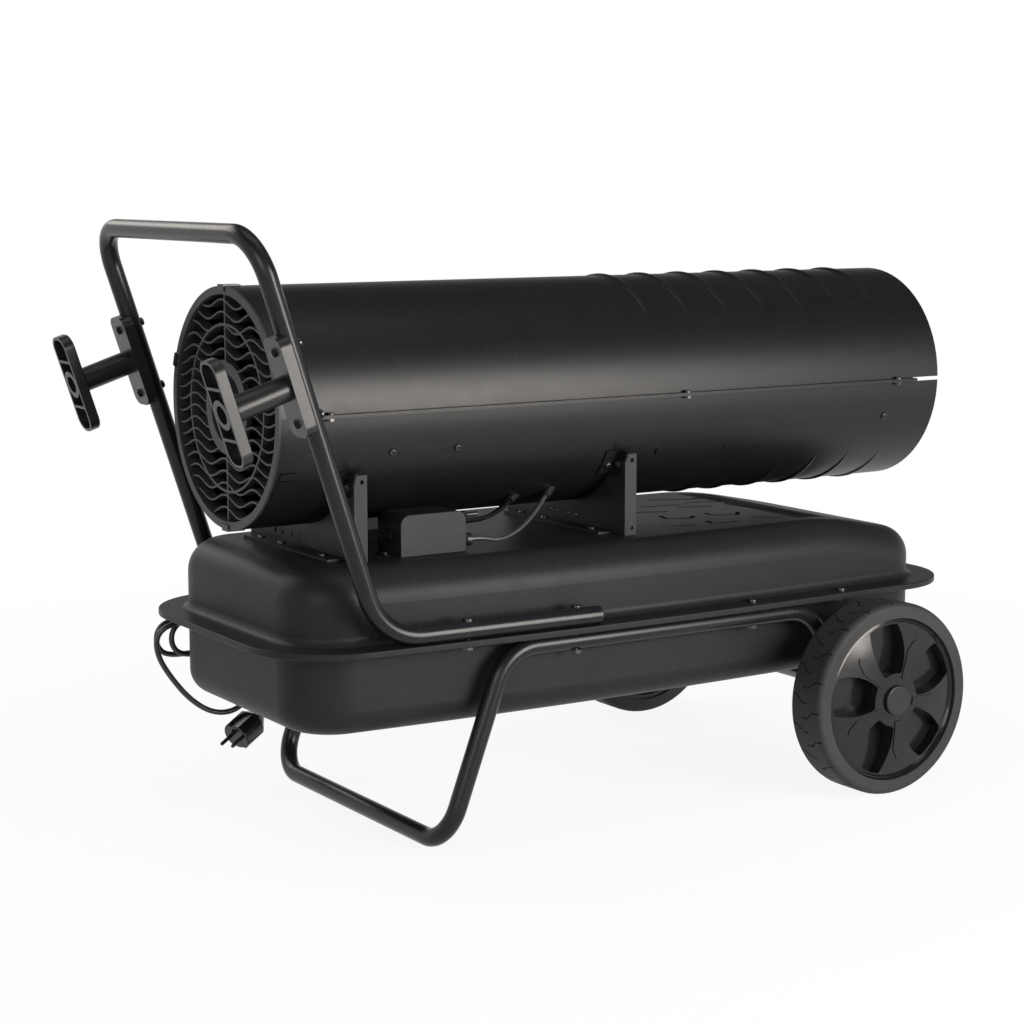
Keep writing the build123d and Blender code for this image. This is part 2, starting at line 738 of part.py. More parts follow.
def side_screws():
    return Part() + [screw(side_screw_place(x, side), 7.0) for x in side_screw_x for side in (-1, 1)]


# ---- inlet grille ------------------------------------------------------------------------------
def slat_face(z, reach):
    """One wavy slat, as a closed face in the barrel's cross-section."""
    upper, lower = [], []
    steps = round(4 * reach / (slat_wave_length / 4))
    for step in range(steps + 1):
        y = -reach + 2 * reach * step / steps
        wave = z + slat_wave_height * math.cos(2 * math.pi * (y - 8.0) / slat_wave_length)
        upper.append((y, wave + slat_thickness / 2))
        lower.append((y, wave - slat_thickness / 2))
    top, bottom = Spline(*upper), Spline(*lower)
    return make_face([top, Line(top @ 1, bottom @ 1), bottom, Line(bottom @ 0, top @ 0)])


def inlet_grille():
    """Moulded grille: lip, outer ring, middle ring, collar, upright rib and wavy slats."""
    outer = barrel_bore - grille_fit
    inner = outer - grille_ring_wall
    slats = Sketch()
    count = int(inner / slat_pitch)
    for row in range(-count, count + 1):
        z = (row + 0.5) * slat_pitch
        if abs(z) < inner - 4.0:
            slats += slat_face(z, inner)
    band = Circle(inner + 1.0) - Circle(collar_face_radius - 1.0)
    web = slats & band
    web += Circle(middle_ring_radius + grille_wall / 2) - Circle(middle_ring_radius - grille_wall / 2)
    web += Rectangle(grille_wall, 2 * inner + 1.0) & band
    body = extrude(barrel_plane(0) * web, slat_depth)
    body += extrude(barrel_plane(0) * (Circle(outer) - Circle(inner)), grille_depth)
    body += extrude(barrel_plane(-grille_lip) * (Circle(barrel_radius) - Circle(inner)), grille_lip)
    body += extrude(barrel_plane(0) * (Circle(collar_radius) - Circle(collar_radius - 2.5)), collar_depth)
    face = Circle(collar_face_radius) - Circle(collar_radius - 2.5)
    body += extrude(barrel_plane(0) * face, slat_depth * 0.5)
    return body


def grille_clips():
    """Sheet clips over the rim: on top, at the bottom and on the far side."""
    seat = (Align.MIN, Align.MIN, Align.CENTER)
    start = -grille_lip - clip_front_sheet
    over = Pos(start, barrel_radius, 0) * Box(clip_length, clip_sheet, clip_width, align=seat)
    hook = 6.0
    front = Box(clip_front_sheet, clip_sheet + hook, clip_width, align=seat)
    front = Pos(start, barrel_radius - hook, 0) * front
    clips = [Pos(0, 0, barrel_axis_z) * Rot(angle, 0, 0) * (over + front) for angle in clip_angles]
    return Part() + clips


# ---- motor, pump and fan -----------------------------------------------------------------------
def along_barrel(x, sketch, length):
    return extrude(barrel_plane(x) * sketch, length)


def shaft_way(x, length):
    return along_barrel(x, Circle(motor_shaft_radius + shaft_clearance), length)


def motor_body():
    middle_x = motor_start_x + motor_length / 2
    body = along_barrel(motor_start_x, Circle(motor_radius), motor_length)
    body = fillet(body.edges().group_by(Axis.X)[0] + body.edges().group_by(Axis.X)[-1], 8.0)
    for step in range(12):
        groove = Rot(30 * step, 0, 0) * Pos(0, motor_radius, 0) * Box(motor_length - 40.0, 5.0, 3.0)
        body -= Pos(middle_x, 0, barrel_axis_z) * groove
    foot_height = barrel_axis_z - mount_top_z - motor_radius + 8.0
    foot = Pos(middle_x, 0, mount_top_z) * Box(60.0, 60.0, foot_height,
                                               align=(Align.CENTER, Align.CENTER, Align.MIN))
    return body + foot - shaft_way(motor_start_x - 1.0, motor_length + 2.0)


def motor_mount():
    """Sheet shelf under the motor with flaps that follow the lower shell."""
    wall = barrel_bore
    shelf = Pos(mount_start_x, 0, mount_top_z) * Box(mount_length, 2 * wall, mount_sheet,
                                                    align=(Align.MIN, Align.CENTER, Align.MAX))
    shelf = shelf & along_barrel(mount_start_x, Circle(wall - mount_sheet / 2), mount_length)
    flap = along_barrel(mount_start_x, Circle(wall) - Circle(wall - mount_sheet), mount_length)
    band = Pos(mount_start_x, 0, mount_top_z - mount_sheet) * Box(mount_length, 2 * wall, 26.0,
                                                                 align=(Align.MIN, Align.CENTER, Align.MIN))
    body = shelf + (flap & band)
    for x in side_screw_x[:2]:
        for side in (-1, 1):
            body -= side_screw_place(x, side) * Cylinder(screw_radius + hole_clearance, 14.0)
    return body


def pump_body():
    """Air pump housing on the motor's inlet end, with its chamber, inlet port and flange."""
    body = along_barrel(pump_start_x, Circle(pump_radius), motor_start_x - pump_start_x)
    body += Pos(pump_start_x + 12.0, -pump_radius, barrel_axis_z) * Rot(90, 0, 0) * Cylinder(7.0, 24.0)
    chamber = along_barrel(pump_start_x, Circle(pump_rotor_radius + 1.0), pump_rotor_length + 2.0)
    return body - chamber - shaft_way(pump_start_x, motor_start_x - pump_start_x)


def pump_end_cover():
    """Round cover over the pump with the filter's vents and a closed gauge port."""
    body = along_barrel(pump_cover_x, Circle(pump_radius), pump_start_x - pump_cover_x)
    body = fillet(body.edges().group_by(Axis.X)[0], 3.0)
    for step in range(6):
        vent = Rot(60 * step, 0, 0) * Pos(0, pump_radius - 11.0, 0) * Box(8.0, 12.0, 5.0)
        body -= Pos(pump_cover_x, 0, barrel_axis_z) * vent
    return body + along_barrel(pump_cover_x - 5.0, RegularPolygon(9.0, 6), 6.0)


def motor_shaft():
    start = pump_start_x + 1.0
    return along_barrel(start, Circle(motor_shaft_radius), fan_start_x + fan_depth - start)


def pump_rotor():
    """Rotor with four vane slots on the shaft's pump end."""
    rotor = Circle(pump_rotor_radius) - Circle(motor_shaft_radius)
    for step in range(4):
        rotor -= Rot(0, 0, 45 + 90 * step) * Pos(pump_rotor_radius - 5.0, 0) * Rectangle(12.0, 2.5)
    return along_barrel(pump_start_x + 1.0, rotor, pump_rotor_length)


def fan():
    """Axial fan: a round hub and cambered blades set at an angle."""
    hub = along_barrel(fan_start_x, Circle(fan_hub_radius) - Circle(motor_shaft_radius), fan_depth)
    hub = fillet(hub.edges().group_by(Axis.X)[0].sort_by(SortBy.LENGTH)[-1], 8.0)
    chord, camber, thickness = 66.0, 7.0, 2.0
    outer = ThreePointArc((-chord / 2, 0), (0, camber), (chord / 2, 0))
    inner = ThreePointArc((chord / 2, -thickness), (0, camber - thickness), (-chord / 2, -thickness))
    section = make_face([outer, Line(outer @ 1, inner @ 0), inner, Line(inner @ 1, outer @ 0)])
    blade = extrude(Rot(0, 0, 32.0) * section, fan_radius - fan_hub_radius + 6.0)
    blades = []
    for step in range(fan_blades):
        place = Pos(fan_start_x + fan_depth / 2, 0, barrel_axis_z) * Rot(360 * step / fan_blades, 0, 0)
        blades.append(place * Pos(0, 0, fan_hub_radius - 6.0) * blade)
    body = hub + blades
    return body & along_barrel(fan_start_x - 40.0, Circle(fan_radius) - Circle(motor_shaft_radius), 120.0)


# ---- combustion chamber ------------------------------------------------------------------------
def combustion_chamber():
    """Steel drum with a burner plate at one end and a drawn-in mouth with a target disc at the other."""
    length = chamber_end_x - chamber_start_x
    body = along_barrel(chamber_start_x, Circle(chamber_radius), length)
    body = fillet(body.edges().group_by(Axis.X)[0], 20.0)
    bore = along_barrel(chamber_start_x + chamber_sheet, Circle(chamber_radius - chamber_sheet),
                        length - 2 * chamber_sheet)
    bore = fillet(bore.edges().group_by(Axis.X)[0], 20.0 - chamber_sheet)
    body -= bore
    body -= along_barrel(chamber_end_x - 4.0, Circle(chamber_mouth_radius), 10.0)
    body -= along_barrel(chamber_start_x - 1.0, Circle(burner_tube_radius), 10.0)
    for x in chamber_hole_rows:
        for step in range(8):
            hole = Rot(45 * step + 22.5, 0, 0) * Cylinder(8.0, 2 * chamber_radius,
                                                          align=(Align.CENTER, Align.CENTER, Align.MIN))
            body -= Pos(x, 0, barrel_axis_z) * hole
    target_x = chamber_end_x - target_setback
    disc = along_barrel(target_x, Circle(target_radius), chamber_sheet)
    strap = Pos(0, 0, target_radius - 4.0) * Box(chamber_sheet, 14.0,
                                                 chamber_radius - target_radius + 4.0 - chamber_sheet / 2,
                                                 align=(Align.MIN, Align.CENTER, Align.MIN))
    for step in range(3):
        disc += Pos(target_x, 0, barrel_axis_z) * Rot(120 * step, 0, 0) * strap
    return body + disc


def burner_head():
    """Air tube into the chamber with a swirl plate, whose slots lie round the nozzle."""
    length = chamber_start_x + 14.0 - burner_start_x
    tube = along_barrel(burner_start_x, Circle(burner_tube_radius) - Circle(burner_tube_radius - 2.0), length)
    plate = Circle(burner_tube_radius - 1.0) - Circle(nozzle_radius)
    for step in range(8):
        plate -= Rot(0, 0, 45 * step + 22.5) * Pos(29.0, 0) * Rot(0, 0, 20) * Rectangle(18.0, 4.0)
    for side in (-1, 1):
        plate -= Pos(side * (nozzle_radius + electrode_offset), 0) * Circle(electrode_radius)
    ring = Circle(burner_tube_radius + 12.0) - Circle(burner_tube_radius)
    flange = along_barrel(chamber_start_x - 2.0, ring, 2.0)
    return tube + along_barrel(chamber_start_x - 6.0, plate, 2.0) + flange


def nozzle_adapter():
    """Nozzle held by the swirl plate, with hexagon, tip and two pipe stubs."""
    body = along_barrel(chamber_start_x - 36.0, Circle(nozzle_radius), 32.0)
    body += along_barrel(chamber_start_x - 44.0, RegularPolygon(15.0, 6), 10.0)
    tip = Pos(chamber_start_x - 4.0, 0, barrel_axis_z) * Rot(0, 90, 0) * Cone(
        nozzle_radius, 4.0, 8.0, align=(Align.CENTER, Align.CENTER, Align.MIN))
    stub_top = barrel_axis_z - nozzle_radius
    stub = Pos(pipe_nozzle_x, 0, stub_top) * extrude(Circle(pipe_radius), pipe_end_z - stub_top)
    return body + tip + stub


def electrodes():
    """Two ceramic electrodes with bent wire tips, clamped on the nozzle adapter."""
    pair = []
    for side in (-1, 1):
        start = (chamber_start_x - 30.0, side * (nozzle_radius + electrode_offset), barrel_axis_z)
        pair.append(rod(start, (chamber_start_x + 6.0, start[1], start[2]), electrode_radius))
        tip_start = (chamber_start_x + 6.0, start[1], start[2])
        pair.append(rod(tip_start, (chamber_start_x + 16.0, side * 2.5, barrel_axis_z + 6.0), 1.2))
    clamp = Pos(chamber_start_x - 24.0, 0, barrel_axis_z) * Box(8.0, 2 * nozzle_radius + 18.0, 12.0)
    clamp -= along_barrel(chamber_start_x - 40.0, Circle(nozzle_radius), 40.0)
    return Part() + pair + clamp


def photocell():
    start = (chamber_start_x - 22.0, 0, barrel_axis_z + 30.0)
    body = rod(start, (chamber_start_x - 6.0, 0, barrel_axis_z + 30.0), 6.0)
    return body + rod((start[0] - 8.0, 0, start[2]), start, 8.0)


def chamber_supports():
    """Z-shaped straps between the chamber and the barrel's wall."""
    straps = []
    width, sheet = 22.0, 2.0
    for x in (chamber_start_x + 60.0, side_screw_x[2]):
        for angle in (-side_screw_angle, 180.0 + side_screw_angle, 90.0):
            turn = Pos(x, 0, barrel_axis_z) * Rot(angle, 0, 0)
            web = Pos(-width / 2, chamber_radius, 0) * Box(sheet, barrel_bore - chamber_radius, width,
                                                          align=(Align.MIN, Align.MIN, Align.CENTER))
            straps.append((turn * web) & along_barrel(x - width / 2, Circle(barrel_bore), width))
            wall_pad = along_barrel(x - width / 2, Circle(barrel_bore) - Circle(barrel_bore - sheet), width)
            drum_ring = Circle(chamber_radius + sheet) - Circle(chamber_radius)
            drum_pad = along_barrel(x - width / 2, drum_ring, width)
            window = Box(width, 60.0, width, align=(Align.CENTER, Align.MIN, Align.CENTER))
            window = turn * (Pos(0, chamber_radius - 3.0, 0) * window)
            straps.append((wall_pad + drum_pad) & window)
    body = Part() + straps
    for side in (-1, 1):
        body -= side_screw_place(side_screw_x[2], side) * Cylinder(screw_radius + hole_clearance, 16.0)
    return body


# ---- fuel line ---------------------------------------------------------------------------------
def fuel_outlet():
    """Fitting on the tank's top with a hexagon, a barb and a pick-up pipe."""
    body = extrude(RegularPolygon(9.0, 6), 5.0) + extrude(Circle(pipe_radius + 1.5), pipe_start_rise)
    return Pos(pipe_tank_x, 0, tank_top_z) * body


def fuel_pipe():
    """Bent pipe up into the barrel, back under the chamber and up to the nozzle."""
    points = [(pipe_tank_x, 0, tank_top_z + pipe_start_rise), (pipe_tank_x, 0, pipe_run_z),
              (pipe_nozzle_x, 0, pipe_run_z), (pipe_nozzle_x, 0, pipe_end_z)]
    return tube_along(points, [pipe_bend, pipe_bend], pipe_radius)


# ---- handle and hooks --------------------------------------------------------------------------
def handle_points():
    near = [(handle_end_x, -handle_end_half_width, handle_run_z),
            (handle_low_x, -handle_half_width, handle_run_z),
            (handle_top_x, -handle_half_width, handle_top_z)]
    return near + [(x, -y, z) for x, y, z in reversed(near)]


def handle_form(outer, bore=0.0):
    return tube_along(handle_points(), [handle_low_bend, handle_top_bend, handle_top_bend, handle_low_bend],
                      outer, bore)


def handle_tube():
    body = drill_for_rim_bolts(handle_form(tube_radius, tube_radius - tube_wall), True)
    for side in (-1, 1):
        for spacing in (-1, 1):
            hole = Pos(0, 0, spacing * hook_bolt_spacing / 2) * Rot(0, 90, 0)
            body -= hook_place(side) * hole * Cylinder(bolt_radius + hole_clearance, 60.0)
    return body


def handle_end_plugs():
    """Plastic plugs in the handle tube's open ends."""
    flare = math.atan2(handle_end_half_width - handle_half_width, handle_end_x - handle_low_x)
    place = Plane(origin=(handle_end_x, -handle_end_half_width, handle_run_z),
                  z_dir=(math.cos(flare), -math.sin(flare), 0))
    cap = extrude(Circle(tube_radius), 3.0)
    cap = fillet(cap.edges().sort_by(Axis.Z)[-1], 1.8)
    return mirrored(place * (cap + extrude(Circle(tube_radius - tube_wall), -12.0)))


def hook_place(side):
    """Place on the leg's axis: local z runs up the leg, local x to the heater's front."""
    return Pos(hook_x, side * handle_half_width, hook_z) * Rot(0, -leg_lean, 0)


def cord_hook(side):
    """Moulded T hook: saddle base on the leg, round post and a ribbed cross-bar."""
    base_front, base_back = -6.0, -6.0 - hook_base_depth
    across = Plane(origin=(base_back, 0, 0), x_dir=(0, 1, 0), z_dir=(1, 0, 0))
    body = extrude(across * RectangleRounded(hook_base_width, hook_base_length, 12.0), base_front - base_back)
    body -= Cylinder(tube_radius, 2 * hook_base_length)
    bar_front = -hook_bar_distance + hook_bar_thickness / 2
    post = Plane(origin=(bar_front, 0, 0), x_dir=(0, 1, 0), z_dir=(1, 0, 0)) * Circle(hook_post_radius)
    body += extrude(post, base_back - bar_front)
    back = Plane(origin=(-hook_reach, 0, 0), x_dir=(0, 1, 0), z_dir=(1, 0, 0))
    bar = extrude(back * RectangleRounded(hook_bar_width, hook_bar_length, 16.0), hook_bar_thickness)
    bar = fillet(bar.edges().group_by(Axis.X)[-1], 2.0)
    wall = 3.5
    pocket = back * RectangleRounded(hook_bar_width - 2 * wall, hook_bar_length - 2 * wall, 16.0 - wall)
    for z in (-0.24 * hook_bar_length, 0.24 * hook_bar_length):
        pocket -= back * Pos(0, z) * Rectangle(hook_bar_width, wall)
    pocket -= back * Circle(hook_post_radius + 2.5)
    bar -= extrude(pocket, hook_bar_thickness - 4.0)
    body += bar
    body -= extrude(back * Circle(hook_post_radius - 4.0), 0.6 * hook_bar_distance)
    for z in (-hook_bolt_spacing / 2, hook_bolt_spacing / 2):
        body -= Pos(0, 0, z) * Rot(0, 90, 0) * Cylinder(bolt_radius + hole_clearance, 60.0)
    return hook_place(side) * body


def cord_hook_near():
    return cord_hook(-1)


def cord_hook_far():
    return cord_hook(1)


def hook_bolts():
    grip = tube_radius + 6.0 + hook_base_depth
    bolts = []
    for side in (-1, 1):
        for z in (-hook_bolt_spacing / 2, hook_bolt_spacing / 2):
            place = Plane(origin=(tube_radius, 0, z), x_dir=(0, 1, 0), z_dir=(1, 0, 0))
            bolts.append(hook_place(side) * bolt(place, grip, head=5.0))
    return Part() + bolts


# ---- foot frame, axle and wheels ---------------------------------------------------------------
def frame_points():
    near = [(axle_x, -frame_half_width, wheel_z), (frame_heel_x, -frame_half_width, frame_run_z),
            (frame_knee_x, -frame_half_width, frame_run_z), (frame_foot_x, -frame_half_width, tube_radius)]
    return near + [(x, -y, z) for x, y, z in reversed(near)]


def frame_tube():
    """Foot frame, one bent tube, with the axle's sleeves welded to its two ends."""
    bends = [frame_bend, frame_bend, foot_bend, foot_bend, frame_bend, frame_bend]
    body = tube_along(frame_points(), bends, tube_radius, tube_radius - tube_wall)
    body = drill_for_rim_bolts(body, False)
    for side in (-1, 1):
        body -= Pos(axle_x, side * frame_half_width, wheel_z) * Rot(90, 0, 0) * Cylinder(
            axle_radius + sleeve_wall, 3 * tube_radius)
    return body + axle_sleeves()


def across_at(y, sketch, length):
    """Extrusion along Y away from the plane of symmetry on the near side, at the axle."""
    place = Plane(origin=(axle_x, -y, wheel_z), x_dir=(1, 0, 0), z_dir=(0, -1, 0))
    return extrude(place * sketch, length)


def axle_sleeves():
    """Short sleeves welded to the frame's ends, which hold the axle."""
    ring = Circle(axle_radius + sleeve_wall) - Circle(axle_radius)
    return mirrored(across_at(frame_half_width - sleeve_length / 2, ring, sleeve_length))


def axle():
    return rod((axle_x, -axle_end_y, wheel_z), (axle_x, axle_end_y, wheel_z), axle_radius)


def axle_spacers():
    start = frame_half_width + sleeve_length / 2
    ring = Circle(axle_radius + 4.5) - Circle(axle_radius)
    return mirrored(across_at(start, ring, wheel_outer_y - wheel_width - moving_gap - start))


def axle_caps():
    """Flat round caps pushed on the axle's ends."""
    start = wheel_outer_y + hub_face_rise + moving_gap
    cap = across_at(start, Circle(axle_cap_radius), axle_cap_height)
    cap = fillet(cap.edges().group_by(Axis.Y)[0], 1.5)
    return mirrored(cap - across_at(start - 1.0, Circle(axle_radius), axle_end_y - start + 1.0))


def wheel_place(side):
    """Place of a wheel modelled with its outer face up at z = 0: both wheels are the same part."""
    if side < 0:
        return Pos(axle_x, -wheel_outer_y, wheel_z) * Rot(90, 0, 0)
    return Pos(axle_x, wheel_outer_y, wheel_z) * Rot(-90, 0, 0)


def sipe(row):
    """S-shaped groove from one shoulder past the middle of the tread, as a cutter on the +X side."""
    place = Plane(origin=(wheel_radius - sipe_depth, 0, -wheel_width / 2), x_dir=(0, 1, 0), z_dir=(1, 0, 0))
    reach = row * wheel_width
    line = Polyline((-5.0, 0.45 * reach), (-5.0, 0.28 * reach), (4.0, 0.08 * reach), (4.0, -0.08 * reach))
    return extrude(place * trace(line, sipe_width), 4 * sipe_depth)


def tyre(side):
    """Solid tyre: rounded shoulders and two staggered rows of S-shaped sipes."""
    body = extrude(Circle(wheel_radius) - Circle(hub_radius), -wheel_width)
    rims = [e for e in body.edges().filter_by(GeomType.CIRCLE) if e.radius > hub_radius + 1.0]
    body = fillet(rims, tyre_shoulder)
    pitch = 360.0 / sipe_count
    cutters = []
    for step in range(sipe_count):
        for row in (-1, 1):
            cutters.append(Rot(0, 0, pitch * (step + 0.25 * row)) * sipe(row))
    return wheel_place(side) * (body - cutters)


def hub_dome(x):
    """Height of the hub's face at a radius: a shallow spherical dome, lowest at the rim."""
    sphere = (hub_radius ** 2 + hub_dome_drop ** 2) / (2 * hub_dome_drop)
    return hub_face_rise - sphere + math.sqrt(sphere ** 2 - x ** 2)


def dome_band(low, high, start, end):
    """Ring that follows the hub's domed face, between two heights over it and two radii."""
    middle = (start + end) / 2
    top = ThreePointArc(*[(radius, hub_dome(radius) + high) for radius in (start, middle, end)])
    bottom = ThreePointArc(*[(radius, hub_dome(radius) + low) for radius in (end, middle, start)])
    section = make_face([top, Line(top @ 1, bottom @ 0), bottom, Line(bottom @ 1, top @ 0)])
    return revolve(Plane.XZ * section, Axis.Z)


def polar(radius, angle):
    return radius * math.cos(math.radians(angle)), radius * math.sin(math.radians(angle))


def pocket_outline(grow):
    """Pocket between two spokes, leaning as it widens; a grown one runs on into the hub's rim."""
    radii = (34.0 - grow, 66.0, 96.0 + 3 * grow)
    low = [polar(r, angle - math.degrees(grow / r)) for r, angle in zip(radii, (4.0, 5.0, 14.0))]
    high = [polar(r, angle + math.degrees(grow / r)) for r, angle in zip(radii, (50.0, 48.5, 42.0))]
    low_side, high_side = ThreePointArc(*low), ThreePointArc(*reversed(high))
    rim = ThreePointArc(low[-1], polar(radii[-1], 28.0), high[-1])
    boss = ThreePointArc(high[0], polar(radii[0], 27.0), low[0])
    outline = make_face([low_side, rim, high_side, boss])
    return fillet(outline.vertices(), pocket_corner)


def spoke_ridge():
    """Outline of the raised face of a spoke along +X, which ends in a point near the rim."""
    side = [polar(28.0, 10.0), polar(64.0, 9.0), polar(78.0, 3.5), (82.0, 0.0)]
    other = [(x, -y) for x, y in reversed(side[:-1])]
    return make_face(Polyline(*side, *other, close=True))


def hub(side):
    """Moulded hub: rim, domed face with deep pockets, raised spokes that are hollow behind, boss."""
    rim_inner = hub_radius - hub_rim_wall
    face = ThreePointArc(*[(radius, hub_dome(radius)) for radius in (wheel_bore, hub_radius / 2, rim_inner)])
    rim_start = (face @ 1) + Vector(2.0, 3.0)
    rest = Polyline(rim_start, (hub_radius, rim_start.Y - 1.5), (hub_radius, -wheel_width + 3.0),
                    (rim_inner, -wheel_width + 3.0), (rim_inner, hub_back_z), (hub_boss_radius, hub_back_z),
                    (hub_boss_radius, -wheel_width), (wheel_bore, -wheel_width), face @ 0)
    section = make_face([face, Line(face @ 1, rim_start), rest])
    body = revolve(Plane.XZ * section, Axis.Z)
    hollow = dome_band(-2 * pocket_depth, -hub_wall, hub_boss_radius + 1.5, rim_inner - 1.0)
    pockets = []
    ridges = []
    band = dome_band(-hub_wall / 2, hub_ridge_rise, hub_boss_radius + 2 * hub_wall,
                     hub_radius - 3 * hub_rim_wall)
    for step in range(spoke_count):
        turn = Rot(0, 0, 360 * step / spoke_count)
        hollow -= turn * extrude(pocket_outline(hub_wall), 2 * wheel_width, both=True)
        pockets.append(turn * Pos(0, 0, -pocket_depth) * extrude(pocket_outline(0.0), 2 * pocket_depth))
        ridges.append(band & (turn * Rot(0, 0, spoke_turn) * extrude(spoke_ridge(), wheel_width, both=True)))
    body = body - hollow - pockets
    return wheel_place(side) * (body + ridges)


def rim_bolt_set():
    """Bolts with nuts through the handle, the tank's rim and the foot frame."""
    bolts = [bolt(Plane(origin=(x, -y, top)), top - bottom) for x, y, top, bottom in rim_bolts()]
    return mirrored(Part() + bolts)


# ---- boxes on the tank -------------------------------------------------------------------------
def box_middle(box):
    return (box["x"][0] + box["x"][1]) / 2, (box["y"][0] + box["y"][1]) / 2


def box_tab_places(box):
    """Where the screws go through a box's two foot tabs."""
    y = box_middle(box)[1]
    return [(box["x"][0] - tab_length / 2, y), (box["x"][1] + tab_length / 2, y)]


def box_cover(box):
    """Drawn cover, open below, with round top edges and a screwed tab at each end."""
    middle_x, middle_y = box_middle(box)
    width, depth = box["x"][1] - box["x"][0], box["y"][1] - box["y"][0]
    base = Pos(middle_x, middle_y, tank_top_z)
    form = extrude(RectangleRounded(width, depth, 4.0), box["height"])
    form = fillet(form.edges().group_by(Axis.Z)[-1], box["corner"])
    sheet = box["sheet"]
    inner = RectangleRounded(width - 2 * sheet, depth - 2 * sheet, 4.0 - sheet)
    inner = extrude(inner, box["height"] - sheet)
    inner = fillet(inner.edges().group_by(Axis.Z)[-1], box["corner"] - sheet)
    tabs = extrude(RectangleRounded(width + 2 * tab_length, tab_width, 4.0), sheet)
    body = base * (form + tabs - inner)
    for x, y in box_tab_places(box):
        body -= Pos(x, y, tank_top_z) * Cylinder(screw_radius + hole_clearance, 6 * sheet)
    return body


def box_screws():
    screws = []
    for box in (near_box, far_box):
        for x, y in box_tab_places(box):
            screws.append(screw(Plane(origin=(x, y, tank_top_z + box["sheet"])), box["sheet"] + 7.0))
    return Part() + screws


def near_box_face(y, z):
    """Plane on the near box's outlet-side face, normal along the barrel."""
    return Plane(origin=(near_box["x"][1], y, z), x_dir=(0, 1, 0), z_dir=(1, 0, 0))


def transformer_cover():
    body = box_cover(near_box)
    for y, z, radius in ((gland_y, gland_z, gland_radius - 2.0), (stud_y, stud_z, stud_boss_radius)):
        body -= near_box_face(y, z) * Cylinder(radius, 16.0)
    for step in (0, 1):
        body -= near_box_face(*lead_start(step)) * Cylinder(lead_diameter / 2 + 1.5, 8.0)
    body -= Pos(near_box["x"][0], box_middle(near_box)[1], blind_grommet_z) * Rot(0, 90, 0) * Cylinder(
        blind_grommet_radius, 8.0)
    return body


def lead_start(step):
    return lead_y + 9.0 * step, lead_z - 3.0 * step


def ignition_transformer():
    """Potted transformer block that stands on the tank's top inside its cover."""
    middle_x, middle_y = box_middle(near_box)
    block = Pos(middle_x, middle_y, tank_top_z) * extrude(RectangleRounded(66.0, 38.0, 5.0), 36.0)
    return fillet(block.edges().group_by(Axis.Z)[-1], 3.0)


def box_gland():
    """What sits in the near box's end faces: cable gland, lead bushes, threaded stud, blind grommet."""
    gland = near_box_face(gland_y, gland_z) * (extrude(RegularPolygon(gland_radius + 1.5, 6), 5.0)
                                               + extrude(Circle(gland_radius), gland_reach)
                                               + extrude(Circle(gland_radius - 2.0), -6.0))
    gland -= near_box_face(gland_y, gland_z) * Cylinder(control_cable_diameter / 2, 60.0)
    stud = near_box_face(stud_y, stud_z) * (extrude(Circle(3.0), 20.0) + extrude(RegularPolygon(5.5, 6), 4.0)
                                            + extrude(Circle(stud_boss_radius), -6.0))
    pieces = [gland, stud]
    for step in (0, 1):
        bush = extrude(Circle(lead_diameter / 2 + 3.0), 3.0) + extrude(Circle(lead_diameter / 2 + 1.5), -4.0)
        bush -= Cylinder(lead_diameter / 2, 60.0)
        pieces.append(near_box_face(*lead_start(step)) * bush)
    plug = extrude(Circle(blind_grommet_radius + 2.0), 3.0) + extrude(Circle(blind_grommet_radius), -4.0)
    face = Plane(origin=(near_box["x"][0], box_middle(near_box)[1], blind_grommet_z), x_dir=(0, -1, 0),
                 z_dir=(-1, 0, 0))
    pieces.append(face * fillet(plug.edges().group_by(Axis.Z)[-1], 1.2))
    return Part() + pieces


def control_cable_points():
    start = near_box["x"][1] + gland_reach - 4.0
    return [(start, gland_y, gland_z), (275.0, gland_y, gland_z), (302.0, -113.5, 342.5),
            (331.0, -108.0, 350.0), (358.0, -99.5, 365.5), (396.0, -82.5, 395.8)]


def ignition_lead_points(step):
    y, z = lead_start(step)
    start = near_box["x"][1] - 3.0
    return [(start, y, z), (270.0, y, z), (296.0, y + 4.0, z + 0.5), (322.0, y + 13.0, z + 7.0),
            (351.0, y + 26.9, z + 22.1)]


def cable_ends():
    """Where each cable goes through the lower shell: its last two points and its diameter."""
    ends = [(control_cable_points()[-2:], control_cable_diameter)]
    return ends + [(ignition_lead_points(step)[-2:], lead_diameter) for step in (0, 1)]


def cable_grommets(solid=False):
    """Slanted rubber grommets in line with the cables, or the solid forms that cut the shell."""
    grommets = []
    for (before, last), diameter in cable_ends():
        way = (Vector(*last) - Vector(*before)).normalized()
        length = 16.0
        form = rod(Vector(*last) - way * length, Vector(*last) + way * 2.0, diameter / 2 + 2.5)
        if not solid:
            form -= rod(Vector(*last) - way * 2 * length, Vector(*last) + way * length, diameter / 2)
        grommets.append(form)
    return Part() + grommets


def control_box():
    """Housing for thermostat and switch, closed on its outer side by the panel."""
    body = box_cover(far_box)
    face = Pos(box_middle(far_box)[0], far_box["y"][1], tank_top_z + far_box["height"] / 2)
    body -= face * Box(far_box["x"][1] - far_box["x"][0] - 16.0, 12.0, far_box["height"] - 16.0)
    return body


def far_face(x, z, out=0.0):
    """Plane on the control box's outer side, moved out, normal along +Y."""
    return Plane(origin=(x, far_box["y"][1] + out, z), x_dir=(1, 0, 0), z_dir=(0, 1, 0))


